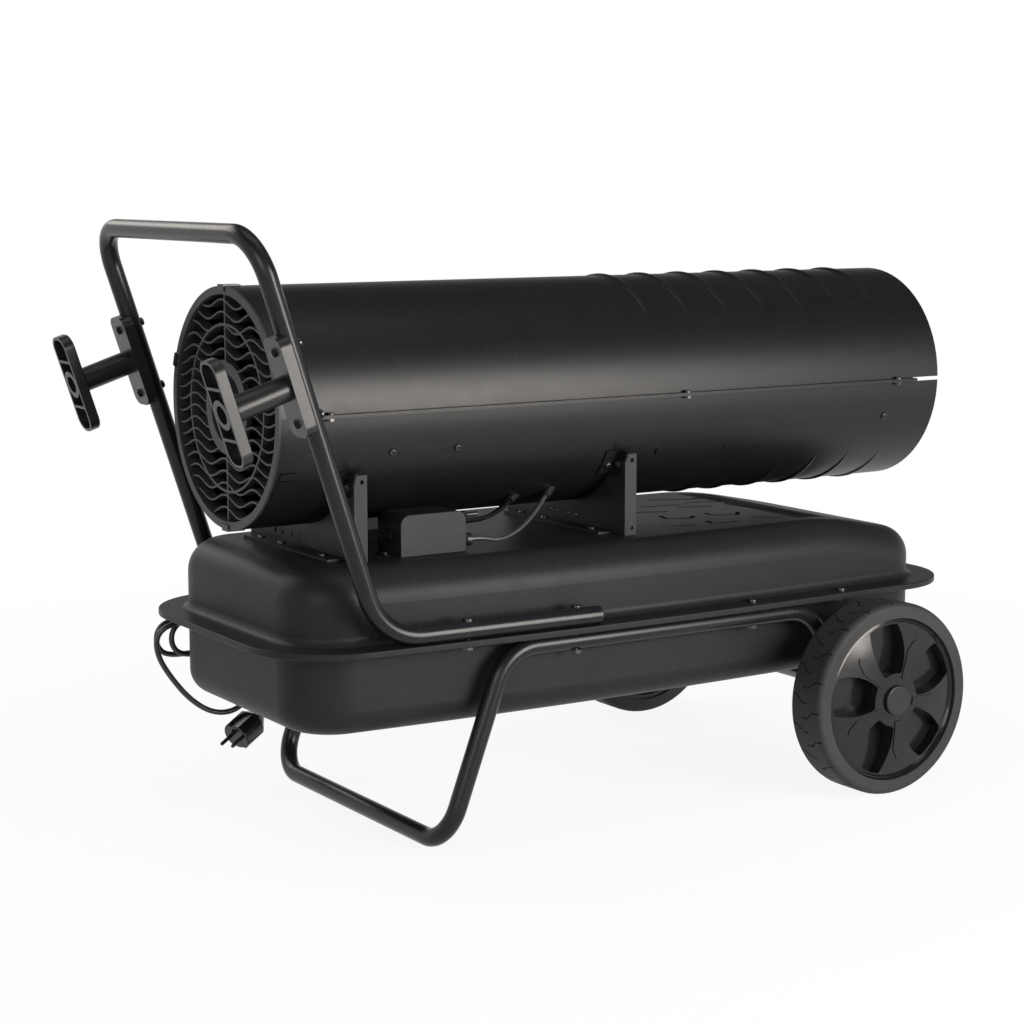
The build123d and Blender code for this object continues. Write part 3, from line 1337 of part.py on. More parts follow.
def control_panel():
    """Screwed panel with a boss for the knob, a window for the rocker and a hole for the strain relief."""
    middle_x = box_middle(far_box)[0]
    middle_z = tank_top_z + far_box["height"] / 2
    width, height = far_box["x"][1] - far_box["x"][0] - 4.0, far_box["height"] - 3.0
    body = extrude(far_face(middle_x, middle_z) * RectangleRounded(width, height, 6.0), panel_sheet)
    body += far_face(knob_x, control_z, panel_sheet) * extrude(Circle(knob_bush_radius), 8.0)
    window = Box(rocker_width + 2 * rocker_gap, rocker_height + 2 * rocker_gap, 20.0)
    body -= far_face(rocker_x, control_z) * window
    body -= far_face(relief_x, relief_z) * Cylinder(cord_diameter / 2 + relief_wall, 20.0)
    return body


def thermostat_knob():
    """Fluted knob with a skirt and a pointer rib, turning on the panel's bush."""
    body = extrude(Circle(knob_radius), 4.0) + Pos(0, 0, 4.0) * extrude(Circle(knob_radius - 3.5), 13.0)
    for step in range(16):
        body -= Rot(0, 0, 22.5 * step) * Pos(knob_radius - 3.0, 0, 5.0) * extrude(Circle(1.6), 13.0)
    body += Pos(0, 0, 17.0) * extrude(Rectangle(3.0, 2 * knob_radius - 9.0), 1.5)
    body -= extrude(Circle(knob_bush_radius + shaft_clearance), 9.0)
    return far_face(knob_x, control_z, panel_sheet + moving_gap) * body


def rocker_switch():
    """Rocker with two raised ends on a pin across its middle, rocked to one side."""
    half = rocker_height / 2 - 2 * rocker_gap
    face = ThreePointArc((half, 3.6), (0, 1.2), (-half, 3.6))
    section = make_face([face, Polyline(face @ 1, (-half, -3.0), (half, -3.0), face @ 0)])
    body = extrude(Plane.YZ * section, rocker_width / 2 - rocker_gap, both=True)
    return far_face(rocker_x, control_z, panel_sheet) * Rot(rocker_tilt, 0, 0) * body


def rocker_frame():
    """Snap-in frame round the rocker with the two ends of its pin."""
    body = extrude(Rectangle(rocker_width + 5.0, rocker_height + 5.0), 1.5)
    body += extrude(Rectangle(rocker_width + 2 * rocker_gap, rocker_height + 2 * rocker_gap), -8.0)
    body -= Box(rocker_width, rocker_height, 40.0)
    return far_face(rocker_x, control_z, panel_sheet) * body


def strain_relief():
    """Tapered, ribbed sleeve in the control panel round the mains cord."""
    radius, flange = cord_diameter / 2, 3.0
    taper = Pos(0, 0, flange) * Cone(radius + relief_wall + 0.6, radius + 1.3, relief_reach - flange,
                                     align=(Align.CENTER, Align.CENTER, Align.MIN))
    body = extrude(Circle(radius + relief_wall + 2.0), flange) + taper
    body += extrude(Circle(radius + relief_wall), -relief_depth)
    pitch = (relief_reach - flange) / 5.8
    for step in range(5):
        groove = Circle(radius + relief_wall + 2.0) - Circle(radius + 0.9)
        body -= Pos(0, 0, flange + pitch * (step + 0.55)) * extrude(groove, 0.44 * pitch)
    body -= Cylinder(radius, 2 * (relief_reach + relief_depth))
    return far_face(relief_x, relief_z, panel_sheet) * body


# ---- mains cord --------------------------------------------------------------------------------
def corner_radii(points):
    """Bend radius at each corner of a cable's route, from its shorter run and its turn."""
    radii = []
    for before, corner, after in zip(points, points[1:], points[2:]):
        run_in, run_out = Vector(*corner) - Vector(*before), Vector(*after) - Vector(*corner)
        turn = math.radians(run_in.get_angle(run_out))
        radii.append(0.45 * min(run_in.length, run_out.length) / math.tan(turn / 2))
    return radii


def cable(points, diameter):
    return tube_along(points, corner_radii(points), diameter / 2)


def control_cable():
    return cable(control_cable_points(), control_cable_diameter)


def ignition_leads():
    return Part() + [cable(ignition_lead_points(step), lead_diameter) for step in (0, 1)]


def hank_corners():
    """Ends of the hank's straight runs in order: each turn drifts inwards along runs and round ends."""
    run_drift, end_drift = 0.3 * hank_pitch, 0.2 * hank_pitch
    slope = run_drift / (hank_right_x[0] - hank_left_x[0])
    corners = [(hank_start_x, hank_outer_y - slope * (hank_right_x[0] - hank_start_x), hank_top_z)]
    y = hank_outer_y
    for left, right in zip(hank_left_x, hank_right_x):
        corners += [(left, y - run_drift, hank_top_z),
                    (left, y - run_drift - end_drift, hank_bottom_z),
                    (right, y - hank_pitch + end_drift, hank_bottom_z),
                    (right, y - hank_pitch, hank_top_z)]
        y -= hank_pitch
    return corners + [(hank_end_x, y - slope * (hank_right_x[-1] - hank_end_x), hank_top_z)]


def biarc(start, start_way, end, end_way):
    """Two arcs from start to end that leave and arrive along the given unit directions."""
    across, ways = end - start, start_way + end_way
    share = 2 * (1 - start_way.dot(end_way))
    along = across.dot(ways)
    reach = (math.sqrt(along ** 2 + share * across.dot(across)) - along) / share
    joint = (start + end + (start_way - end_way) * reach) * 0.5
    chord = (joint - start).normalized()
    joint_way = chord * (2 * chord.dot(start_way)) - start_way
    return [TangentArc(start, joint, tangent=start_way), TangentArc(joint, end, tangent=joint_way)]


def hank_path():
    """Straight runs and half-turn biarcs, wound inwards by one pitch a turn."""
    corners = [Vector(*corner) for corner in hank_corners()]
    runs = list(zip(corners[::2], corners[1::2]))
    edges = []
    for number, (start, end) in enumerate(runs):
        edges.append(Line(start, end))
        if number + 1 < len(runs):
            following = runs[number + 1]
            edges += biarc(end, (end - start).normalized(), following[0],
                           (following[1] - following[0]).normalized())
    return Wire([edge.edge() for edge in edges])


def cord_hank():
    path = hank_path()
    start = Plane(origin=path @ 0, z_dir=path % 0)
    return sweep(start * Circle(cord_diameter / 2), path=path)


def hank_gap():
    """Least gap between strands of the hank, measured on points along its centre line."""
    path = hank_path()
    step = 2.0
    count = round(path.length / step)
    points = [path @ (number / count) for number in range(count + 1)]
    apart = round(math.pi * cord_diameter / step)
    least = min((points[i] - points[j]).length
                for i in range(len(points)) for j in range(i + apart, len(points)))
    return least - cord_diameter


def lead_points():
    """The mains cord's route from the strain relief to the hank."""
    end, ahead = (Vector(*corner) for corner in hank_corners()[:2])
    last = end - (ahead - end).normalized() * 24.0
    y = far_box["y"][1] + panel_sheet + relief_reach - 6.0
    return [(relief_x, y, relief_z), (relief_x, y + 25.0, relief_z), (270.5, 205.0, 338.0),
            (269.5, 222.0, 317.5), (267.5, 232.0, 293.0), (262.5, 236.0, 267.0), (253.0, 235.0, 244.0),
            (236.0, 229.5, 229.5), (212.0, 220.0, 223.5), tuple(last), tuple(end)]


def tail_points():
    """The mains cord's route from the hank to the plug: down, along and up in a loop."""
    before, start = (Vector(*corner) for corner in hank_corners()[-2:])
    first = start + (start - before).normalized() * 22.0
    way = Vector(*plug_way).normalized()
    rear = Vector(*plug_face) - way * plug_reach
    last = rear - way * 42.0
    return [tuple(start), tuple(first), (-10.0, 194.5, 207.0), (-8.0, 196.0, 181.0), (10.0, 197.5, 151.0),
            (37.0, 198.5, 118.0), (68.0, 198.0, 97.0), (100.0, 196.5, 97.0), (122.6, 195.5, 120.0),
            (124.7, 196.0, 150.0), (146.8, 198.0, 167.0), (174.4, 203.0, 162.5), (189.0, 208.0, 138.5),
            tuple(last), tuple(rear + way * 6.0)]


def mains_cord():
    """Lead from the control box to the hank and tail from the hank to the plug."""
    return Part() + [cable(lead_points(), cord_diameter), cable(tail_points(), cord_diameter)]


def mains_plug():
    """Two-pin earthed plug: body with flats, neck with ribs, pins, earth clips and earth socket."""
    width, flats = 39.0, 33.0
    face = Circle(width / 2) & Rectangle(width, flats)
    body = extrude(face, -32.0)
    body = fillet(body.edges().group_by(Axis.Z)[-1], 1.5)
    shoulder = loft([Pos(0, 0, -32.0) * face, Pos(0, 0, -46.0) * Circle(9.0)])
    neck = Pos(0, 0, -plug_reach) * extrude(Circle(6.5), plug_reach - 46.0)
    for step in range(3):
        neck -= Pos(0, 0, -plug_reach + 3.0 + 4.5 * step) * extrude(Circle(8.0) - Circle(5.2), 2.0)
    body += shoulder + neck
    for side in (-1, 1):
        pin = Pos(side * 9.5, 0, 0) * extrude(Circle(2.4), 19.0)
        body += fillet(pin.edges().group_by(Axis.Z)[-1], 1.8)
        body -= Pos(0, side * flats / 2, -14.0) * Box(8.0, 2.4, 30.0)
        body += Pos(0, side * (flats / 2 - 0.9), -13.0) * Box(6.0, 1.0, 26.0)
    body -= Pos(0, -10.0, 0) * Cylinder(2.6, 32.0)
    body -= Pos(0, 0, -plug_reach) * Cylinder(cord_diameter / 2, 12.0)
    across = Vector(*plug_way).cross(Vector(0, 0, 1)).normalized()
    return Plane(origin=plug_face, x_dir=tuple(across), z_dir=plug_way) * body


def cord_tie():
    """Flat tie round the hank's right-hand strands and the far leg of the foot frame."""
    corners = [(tie_low_x, tie_low_y), (tie_high_x, tie_low_y + tie_flare), (tie_high_x, tie_high_y),
               (tie_low_x, tie_high_y)]
    inner = make_face(Polyline(*corners, close=True))
    inner = fillet(inner.vertices(), 3.8)
    ring = offset(inner, tie_sheet) - inner
    leg = rod((frame_foot_x, frame_half_width, tube_radius), (frame_knee_x, frame_half_width, frame_run_z),
              tube_radius)
    return Pos(0, 0, tie_z) * extrude(ring, tie_width / 2, both=True) - leg


# ---- written pieces ----------------------------------------------------------------------------
def fuel_line():
    return fuel_outlet() + fuel_pipe()


def barrel_screws():
    return Part() + [seam_screws(), side_screws()]


def bracket_and_box_bolts():
    return Part() + [bracket_bolts(), box_screws()]


def cable_glands():
    return Part() + [box_gland(), cable_grommets()]


def panel_with_rocker_frame():
    return Part() + [control_panel(), rocker_frame()]


pieces = {
    "tank_upper_shell": tank_upper_shell,
    "tank_lower_shell": tank_lower_shell,
    "filler_neck": filler_neck,
    "fuel_strainer": fuel_strainer,
    "cap_gasket": cap_gasket,
    "fuel_cap": fuel_cap,
    "fuel_gauge": fuel_gauge,
    "drain_plug": drain_plug,
    "rear_bracket": rear_bracket,
    "front_bracket": front_bracket,
    "bracket_ears": bracket_ears,
    "bracket_bolts": bracket_and_box_bolts,
    "upper_barrel_shell": upper_barrel_shell,
    "lower_barrel_shell": lower_barrel_shell,
    "barrel_screws": barrel_screws,
    "inlet_grille": inlet_grille,
    "grille_clips": grille_clips,
    "motor_body": motor_body,
    "motor_mount": motor_mount,
    "pump_body": pump_body,
    "pump_end_cover": pump_end_cover,
    "motor_shaft": motor_shaft,
    "pump_rotor": pump_rotor,
    "fan": fan,
    "combustion_chamber": combustion_chamber,
    "chamber_supports": chamber_supports,
    "burner_head": burner_head,
    "nozzle_adapter": nozzle_adapter,
    "electrodes": electrodes,
    "photocell": photocell,
    "fuel_line": fuel_line,
    "transformer_cover": transformer_cover,
    "ignition_transformer": ignition_transformer,
    "cable_glands": cable_glands,
    "control_cable": control_cable,
    "ignition_leads": ignition_leads,
    "control_box": control_box,
    "control_panel": panel_with_rocker_frame,
    "thermostat_knob": thermostat_knob,
    "rocker_switch": rocker_switch,
    "strain_relief": strain_relief,
    "mains_cord": mains_cord,
    "cord_hank": cord_hank,
    "cord_tie": cord_tie,
    "mains_plug": mains_plug,
    "handle_tube": handle_tube,
    "handle_end_plugs": handle_end_plugs,
    "cord_hook_near": cord_hook_near,
    "cord_hook_far": cord_hook_far,
    "hook_bolts": hook_bolts,
    "frame_tube": frame_tube,
    "rim_bolts": rim_bolt_set,
    "axle": axle,
    "axle_spacers": axle_spacers,
    "axle_caps": axle_caps,
}
for name, make in pieces.items():
    save(name, make())
for side, word in ((-1, "near"), (1, "far")):
    save(f"{word}_tyre", tyre(side))
    save(f"{word}_hub", hub(side))

cables = {"control cable": (control_cable_points(), control_cable_diameter),
          "ignition lead": (ignition_lead_points(0), lead_diameter),
          "cord lead": (lead_points(), cord_diameter),
          "cord tail": (tail_points(), cord_diameter)}
for name, (points, diameter) in cables.items():
    radii = corner_radii(points)
    length = FilletPolyline(*points, radius=radii).length
    share = cable(points, diameter).volume / (math.pi * diameter ** 2 / 4 * length)
    print(name, "length", round(length), "volume over section x length", round(share, 4),
          "radii", [round(radius) for radius in radii])
print("hank length", round(hank_path().length), "least gap", round(hank_gap(), 2))
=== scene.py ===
"""Looks for a wheeled forced air heater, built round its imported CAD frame. Metres, +Z up."""
import math

import bmesh
import bpy
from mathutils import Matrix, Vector


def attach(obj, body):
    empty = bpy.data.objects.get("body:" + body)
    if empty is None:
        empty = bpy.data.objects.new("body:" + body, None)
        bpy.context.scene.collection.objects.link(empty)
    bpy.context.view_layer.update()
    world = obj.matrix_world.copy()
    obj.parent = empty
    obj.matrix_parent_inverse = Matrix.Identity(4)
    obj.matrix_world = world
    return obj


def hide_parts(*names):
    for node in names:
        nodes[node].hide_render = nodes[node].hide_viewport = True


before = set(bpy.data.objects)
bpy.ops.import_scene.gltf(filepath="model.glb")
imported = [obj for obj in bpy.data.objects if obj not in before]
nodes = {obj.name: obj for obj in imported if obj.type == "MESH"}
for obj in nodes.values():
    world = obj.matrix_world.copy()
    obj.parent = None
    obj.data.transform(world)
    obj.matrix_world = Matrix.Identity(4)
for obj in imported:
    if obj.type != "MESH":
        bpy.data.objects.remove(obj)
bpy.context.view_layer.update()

# ---- named values ------------------------------------------------------------------------------
centre_x = 0.42638
barrel_radius = 0.1412
barrel_axis_z = 0.5075

camera_place = (-1.1115, -2.3557, 0.7713)
camera_azimuth = -32.55
camera_elevation = 8.47
camera_focal_px = 2243.95
photo_px = 1024
sensor_mm = 36.0

tank_top_z = 0.336
groove_x = (0.585, 0.880)
groove_half_y = 0.13
groove_z = (tank_top_z - 0.004, tank_top_z - 0.0005)
groove_shade_edge = 0.0004

cover_x = (0.1586, 0.2470)
cover_y = (-0.1270, -0.0720)
cover_height = 0.049
cover_sheet = 0.0015
cover_corner = 0.012
cover_edge = 0.0006
cover_tab_length = 0.011
cover_tab_width = 0.018
cover_tab_corner = 0.4 * cover_tab_length
corner_steps = 8
sharp_angle = 0.6

side_screw_x = (0.1450, 0.2320, 0.8895)
side_screw_angle = 19.3
screw_head_height = 0.0026
recess_length = 0.0046
recess_width = 0.0011
recess_depth = 0.0004
recess_proud = 0.00005

cord_diameter = 0.007
hank_top_z = 0.222
hank_bottom_z = 0.178
hank_outer_y = 0.2077
hank_pitch = 0.0078
hank_run_drift = 0.3 * hank_pitch
hank_end_drift = 0.2 * hank_pitch
hank_end_steps = 4
hank_left_x = (0.017, 0.034)
hank_right_x = (0.178, 0.172)
hank_start_x = 0.160
hank_end_x = 0.030
plug_face = (0.090, 0.180, 0.067)
plug_way = (-0.855, -0.302, -0.422)
plug_reach = 0.062
plug_overlap = 0.006
plug_approach = 0.042

cloud_size = 0.09
gloss_size = 0.03
dust_size = 0.006
dust_patches = (0.58, 0.80)
dust_cover = 0.10
dust_tone = 0.35
dust_blend = 0.35

floor_half = 30.0
floor_tone = 0.85
floor_glow = 0.9
floor_glow_radii = (0.5, 1.7)
world_light = 0.3
ceiling_gloss = 0.1
ceiling_heights = (0.25, 0.51)
gloss_up = (0.25, 0.0, 1.0)
warm_light = (1.0, 0.95, 0.89)
cool_light = (0.92, 0.96, 1.0)


def at(x, y, z):
    """A point of part.py, whose x counts from the inlet, in the row's frame."""
    return Vector((x - centre_x, y, z))


# ---- materials ---------------------------------------------------------------------------------
def shader(name):
    """A new node material with its Principled shader, and the object's own coordinates."""
    material = bpy.data.materials.new(name)
    material.use_nodes = True
    tree = material.node_tree
    coordinates = tree.nodes.new("ShaderNodeTexCoord")
    return material, tree, tree.nodes["Principled BSDF"], coordinates.outputs["Object"]


def noise(tree, where, size, detail=3.0, roughness=0.5):
    """Noise with features of about the given size in metres."""
    node = tree.nodes.new("ShaderNodeTexNoise")
    node.inputs["Scale"].default_value = 1.0 / size
    node.inputs["Detail"].default_value = detail
    node.inputs["Roughness"].default_value = roughness
    tree.links.new(where, node.inputs["Vector"])
    return node.outputs["Fac"]


def remap(tree, value, low, high, start=0.3, stop=0.7):
    """A value that goes from low to high while the given one goes from start to stop."""
    node = tree.nodes.new("ShaderNodeMapRange")
    node.inputs["From Min"].default_value = start
    node.inputs["From Max"].default_value = stop
    node.inputs["To Min"].default_value = low
    node.inputs["To Max"].default_value = high
    tree.links.new(value, node.inputs["Value"])
    return node.outputs["Result"]


def combine(tree, operation, first, second):
    """Two values put together by one operation of the Math node."""
    node = tree.nodes.new("ShaderNodeMath")
    node.operation = operation
    tree.links.new(first, node.inputs[0])
    tree.links.new(second, node.inputs[1])
    return node.outputs["Value"]


def within(tree, value, bounds, edge_below=0.001, edge_above=0.001):
    """1 between two bounds, fading to 0 over an edge beyond each."""
    low, high = bounds
    above = remap(tree, value, 0.0, 1.0, low - edge_below, low)
    below = remap(tree, value, 0.0, 1.0, high + edge_above, high)
    return combine(tree, "MULTIPLY", above, below)


def between(tree, factor, first, second):
    """Colour between two colours or sockets by a factor."""
    node = tree.nodes.new("ShaderNodeMix")
    node.data_type = "RGBA"
    tree.links.new(factor, node.inputs["Factor"])
    for socket, colour in ((node.inputs["A"], first), (node.inputs["B"], second)):
        if isinstance(colour, bpy.types.NodeSocket):
            tree.links.new(colour, socket)
        else:
            socket.default_value = (*colour, 1.0)
    return node.outputs["Result"]


def rise(tree, shader_node, height, distance):
    """Relief of the given depth on a shader's normal."""
    bump = tree.nodes.new("ShaderNodeBump")
    bump.inputs["Distance"].default_value = distance
    bump.inputs["Strength"].default_value = 1.0
    tree.links.new(height, bump.inputs["Height"])
    tree.links.new(bump.outputs["Normal"], shader_node.inputs["Normal"])


def finish(name, colour, roughness, grain_size, grain_height, spread=0.02, metallic=0.0, mottle=0.12,
           specular=0.5, coat=0.0, coat_roughness=0.03):
    """A surface with a fine grain, uneven gloss, mottled colour and a little dust."""
    material, tree, surface, where = shader(name)
    light = tuple(min(1.0, c * (1 + mottle)) for c in colour)
    dark = tuple(c * (1 - mottle) for c in colour)
    cloud = remap(tree, noise(tree, where, cloud_size, 4.0), 0.0, 1.0)
    tone = between(tree, cloud, dark, light)
    dust = remap(tree, noise(tree, where, dust_size, 5.0, 0.65), 0.0, dust_cover, *dust_patches)
    dusty = tuple(c + (dust_tone - c) * dust_blend for c in colour)
    tree.links.new(between(tree, dust, tone, dusty), surface.inputs["Base Color"])
    gloss = remap(tree, noise(tree, where, gloss_size, 4.0, 0.6), roughness - spread, roughness + spread)
    tree.links.new(gloss, surface.inputs["Roughness"])
    surface.inputs["Metallic"].default_value = metallic
    surface.inputs["Specular IOR Level"].default_value = specular
    surface.inputs["Coat Weight"].default_value = coat
    surface.inputs["Coat Roughness"].default_value = coat_roughness
    rise(tree, surface, noise(tree, where, grain_size, 2.0), grain_height)
    return material


def paint_groove_shade(material):
    """Painted shade just below the tank's top: near-black, dull colour in its grooves, and where the slope
    beside them starts.
    """
    tree = material.node_tree
    surface = tree.nodes["Principled BSDF"]
    coordinates = tree.nodes.new("ShaderNodeTexCoord")
    place = tree.nodes.new("ShaderNodeSeparateXYZ")
    tree.links.new(coordinates.outputs["Object"], place.inputs["Vector"])
    along = within(tree, place.outputs["X"], [x - centre_x for x in groove_x])
    across = within(tree, place.outputs["Y"], (-groove_half_y, groove_half_y))
    below_top = within(tree, place.outputs["Z"], groove_z, edge_above=groove_shade_edge)
    groove_shade = combine(tree, "MULTIPLY", combine(tree, "MULTIPLY", along, across), below_top)
    # painted shade: the base colour turns near-black in the grooves and at the slope's start, and the
    # roughness turns dull
    for name, value in (("Base Color", 0.001), ("Roughness", 1.0)):
        before = surface.inputs[name].links[0].from_socket
        tree.links.new(between(tree, groove_shade, before, (value, value, value)), surface.inputs[name])


def paint(material, *names):
    """Gives CAD nodes a material."""
    for name in names:
        piece = nodes[name]
        if not piece.material_slots:
            piece.data.materials.append(material)
        for slot in piece.material_slots:
            slot.material = material


tank_coat = finish("tank_coat", (0.011, 0.0113, 0.0122), 0.46, 0.0011, 0.00002, specular=0.15)
barrel_coat = finish("barrel_coat", (0.0055, 0.0057, 0.0066), 0.39, 0.0009, 0.00002, specular=0.27)
box_coat = finish("box_coat", (0.014, 0.0142, 0.015), 0.48, 0.0009, 0.00003, specular=0.22)
tube_coat = finish("tube_coat", (0.008, 0.0082, 0.0095), 0.27, 0.0010, 0.000004, specular=0.24)
black_plastic = finish("black_plastic", (0.011, 0.011, 0.0115), 0.32, 0.0006, 0.00002, specular=0.35)
# the grille's plastic, lighter than the other black plastic: its own tone with painted sheen, lightened to
# stand in for the broad sheen inside its vanes
grille_plastic_and_sheen = finish("grille_plastic_and_sheen", (0.028, 0.029, 0.032), 0.5, 0.0006, 0.00003, specular=0.3)
hub_plastic = finish("hub_plastic", (0.007, 0.007, 0.007), 0.22, 0.0006, 0.00001, specular=0.18, coat=0.3,
                     coat_roughness=0.12)
shadow_black = finish("shadow_black", (0.004, 0.004, 0.004), 0.6, 0.0006, 0.00001, specular=0.1)
tyre_rubber = finish("tyre_rubber", (0.019, 0.019, 0.020), 0.66, 0.0008, 0.00006, mottle=0.2, specular=0.3)
cable_sheath = finish("cable_sheath", (0.014, 0.014, 0.014), 0.36, 0.0012, 0.00002)
grey_sheath = finish("grey_sheath", (0.028, 0.029, 0.031), 0.34, 0.0012, 0.00002)
zinc = finish("zinc", (0.13, 0.13, 0.135), 0.36, 0.0004, 0.00002, metallic=1.0)
dark_zinc = finish("dark_zinc", (0.07, 0.07, 0.073), 0.30, 0.0004, 0.00002, metallic=1.0)
bare_steel = finish("bare_steel", (0.42, 0.41, 0.40), 0.36, 0.0005, 0.00002, metallic=1.0)
cast_alloy = finish("cast_alloy", (0.50, 0.51, 0.52), 0.46, 0.0008, 0.00005, metallic=1.0)
dark_casting = finish("dark_casting", (0.05, 0.05, 0.055), 0.55, 0.0010, 0.00008)
brass = finish("brass", (0.40, 0.31, 0.15), 0.34, 0.0006, 0.00002, metallic=1.0)
strainer_plastic = finish("strainer_plastic", (0.45, 0.45, 0.42), 0.5, 0.0006, 0.00003)

paint_groove_shade(tank_coat)
paint(tank_coat, "tank_upper_shell", "tank_lower_shell", "filler_neck")
paint(barrel_coat, "upper_barrel_shell", "lower_barrel_shell")
paint(box_coat, "rear_bracket", "front_bracket", "transformer_cover", "control_box")
paint(tube_coat, "handle_tube", "frame_tube", "bracket_ears", "grille_clips")
paint(grille_plastic_and_sheen, "inlet_grille")
paint(black_plastic, "cord_hook_near", "cord_hook_far", "handle_end_plugs", "fuel_cap", "fuel_gauge",
      "cable_glands", "control_panel", "thermostat_knob", "rocker_switch", "strain_relief", "axle_caps",
      "cord_tie")
paint(hub_plastic, "near_hub", "far_hub", "mains_plug")
paint(tyre_rubber, "near_tyre", "far_tyre", "cap_gasket")
paint(grey_sheath, "control_cable")
paint(shadow_black, "ignition_leads")
paint(dark_zinc, "barrel_screws", "hook_bolts", "rim_bolts")
paint(zinc, "bracket_bolts", "axle", "axle_spacers", "drain_plug", "chamber_supports", "motor_mount",
      "fuel_line")
paint(bare_steel, "motor_shaft", "combustion_chamber", "burner_head", "electrodes")
paint(cast_alloy, "pump_body", "pump_end_cover", "fan", "pump_rotor")
paint(dark_casting, "motor_body", "ignition_transformer")
paint(brass, "nozzle_adapter", "photocell")
paint(strainer_plastic, "fuel_strainer")


# ---- pressed cover and painted shade of screw recesses -----------------------------------------
def mesh_piece(name, points, faces, material):
    """A closed rigid piece on the heater's body, smooth but for its sharp edges."""
    mesh = bpy.data.meshes.new(name)
    mesh.from_pydata(points, [], faces)
    form = bmesh.new()
    form.from_mesh(mesh)
    bmesh.ops.recalc_face_normals(form, faces=form.faces)
    for edge in form.edges:
        edge.smooth = edge.calc_face_angle(0.0) < sharp_angle
    for face in form.faces:
        face.smooth = True
    form.to_mesh(mesh)
    form.free()
    mesh.materials.append(material)
    piece = bpy.data.objects.new(name, mesh)
    bpy.context.scene.collection.objects.link(piece)
    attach(piece, "heater")
    return piece


def prism_faces(start, count):
    """Two end faces and the sides of a prism whose two rings of points follow one another."""
    first = [start + i for i in range(count)]
    second = [i + count for i in first]
    sides = [[first[i - 1], first[i], second[i], second[i - 1]] for i in range(1, count)]
    return [first, second] + sides + [[first[-1], first[0], second[0], second[-1]]]


def cover_profile(inset):
    """Front outline of the cover, open below, from foot to foot over two round corners."""
    left = cover_x[0] + inset
    right = cover_x[1] - inset
    top = tank_top_z + cover_height - inset
    radius = cover_corner - inset
    outline = [(left, tank_top_z)]
    for middle_x, start in ((left + radius, 180), (right - radius, 90)):
        for step in range(corner_steps + 1):
            angle = math.radians(start - 90 * step / corner_steps)
            outline.append((middle_x + radius * math.cos(angle), top - radius + radius * math.sin(angle)))
    return outline + [(right, tank_top_z)]


def pressed_cover():
    """Sheet cover, open below, with a flat front and round top corners."""
    outer, inner = cover_profile(0.0), cover_profile(cover_sheet)
    count = len(outer)
    points = []
    for outline, inset in ((outer, 0.0), (inner, cover_sheet)):
        for y in (cover_y[0] + inset, cover_y[1] - inset):
            points += [at(x, y, z) for x, z in outline]
    rows = [range(count * step, count * (step + 1)) for step in range(4)]
    faces = [list(row) for row in rows]
    for front, back in ((rows[0], rows[1]), (rows[2], rows[3])):
        faces += [[front[i], front[i + 1], back[i + 1], back[i]] for i in range(count - 1)]
    for outside, inside in ((rows[0], rows[2]), (rows[1], rows[3])):
        faces.append([outside[0], outside[-1], inside[-1], inside[0]])
    for end in (0, -1):
        faces.append([rows[0][end], rows[2][end], rows[3][end], rows[1][end]])
    cover = mesh_piece("pressed_cover", points, faces, box_coat)
    edge = cover.modifiers.new("edge", "BEVEL")
    edge.width = cover_edge
    edge.segments = 2
    edge.limit_method = "ANGLE"
    edge.angle_limit = math.radians(50)
    return cover


def cover_tabs():
    """Tabs at the cover's two feet, each with rounded corners at its free end."""
    middle_y = sum(cover_y) / 2
    half = cover_tab_width / 2
    points, faces = [], []
    for foot, side in ((cover_x[0], -1), (cover_x[1], 1)):
        outline = [(foot, -half)]
        for step in range(corner_steps + 1):
            angle = math.radians(-90 + 180 * step / corner_steps)
            middle = half - cover_tab_corner if angle > 0 else cover_tab_corner - half
            reach = cover_tab_length - cover_tab_corner + cover_tab_corner * math.cos(angle)
            outline.append((foot + side * reach, middle + cover_tab_corner * math.sin(angle)))
        outline.append((foot, half))
        start, count = len(points), len(outline)
        for z in (tank_top_z, tank_top_z + cover_sheet):
            points += [at(x, middle_y + y, z) for x, y in outline]
        faces += prism_faces(start, count)
    return mesh_piece("cover_tabs", points, faces, box_coat)


def screw_recess_shade():
    """Dark crosses in the heads of the barrel's side screws: painted shade standing for their cross
    recesses.
    """
    arm, half = recess_length / 2, recess_width / 2
    cross = [(arm, -half), (arm, half), (half, half), (half, arm), (-half, arm), (-half, half),
             (-arm, half), (-arm, -half), (-half, -half), (-half, -arm), (half, -arm), (half, -half)]
    points, faces = [], []
    below = math.radians(side_screw_angle)
    for x in side_screw_x:
        for side in (-1, 1):
            out = Vector((0, side * math.cos(below), -math.sin(below)))
            up = Vector((0, side * math.sin(below), math.cos(below)))
            start = len(points)
            for lift in (recess_proud - recess_depth, recess_proud):
                head = at(x, 0, barrel_axis_z) + out * (barrel_radius + screw_head_height + lift)
                points += [head + Vector((1, 0, 0)) * u + up * v for u, v in cross]
            faces += prism_faces(start, len(cross))
    return mesh_piece("screw_recess_shade", points, faces, shadow_black)


cover = pressed_cover()
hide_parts("transformer_cover")
cover_tabs()
screw_recess_shade()


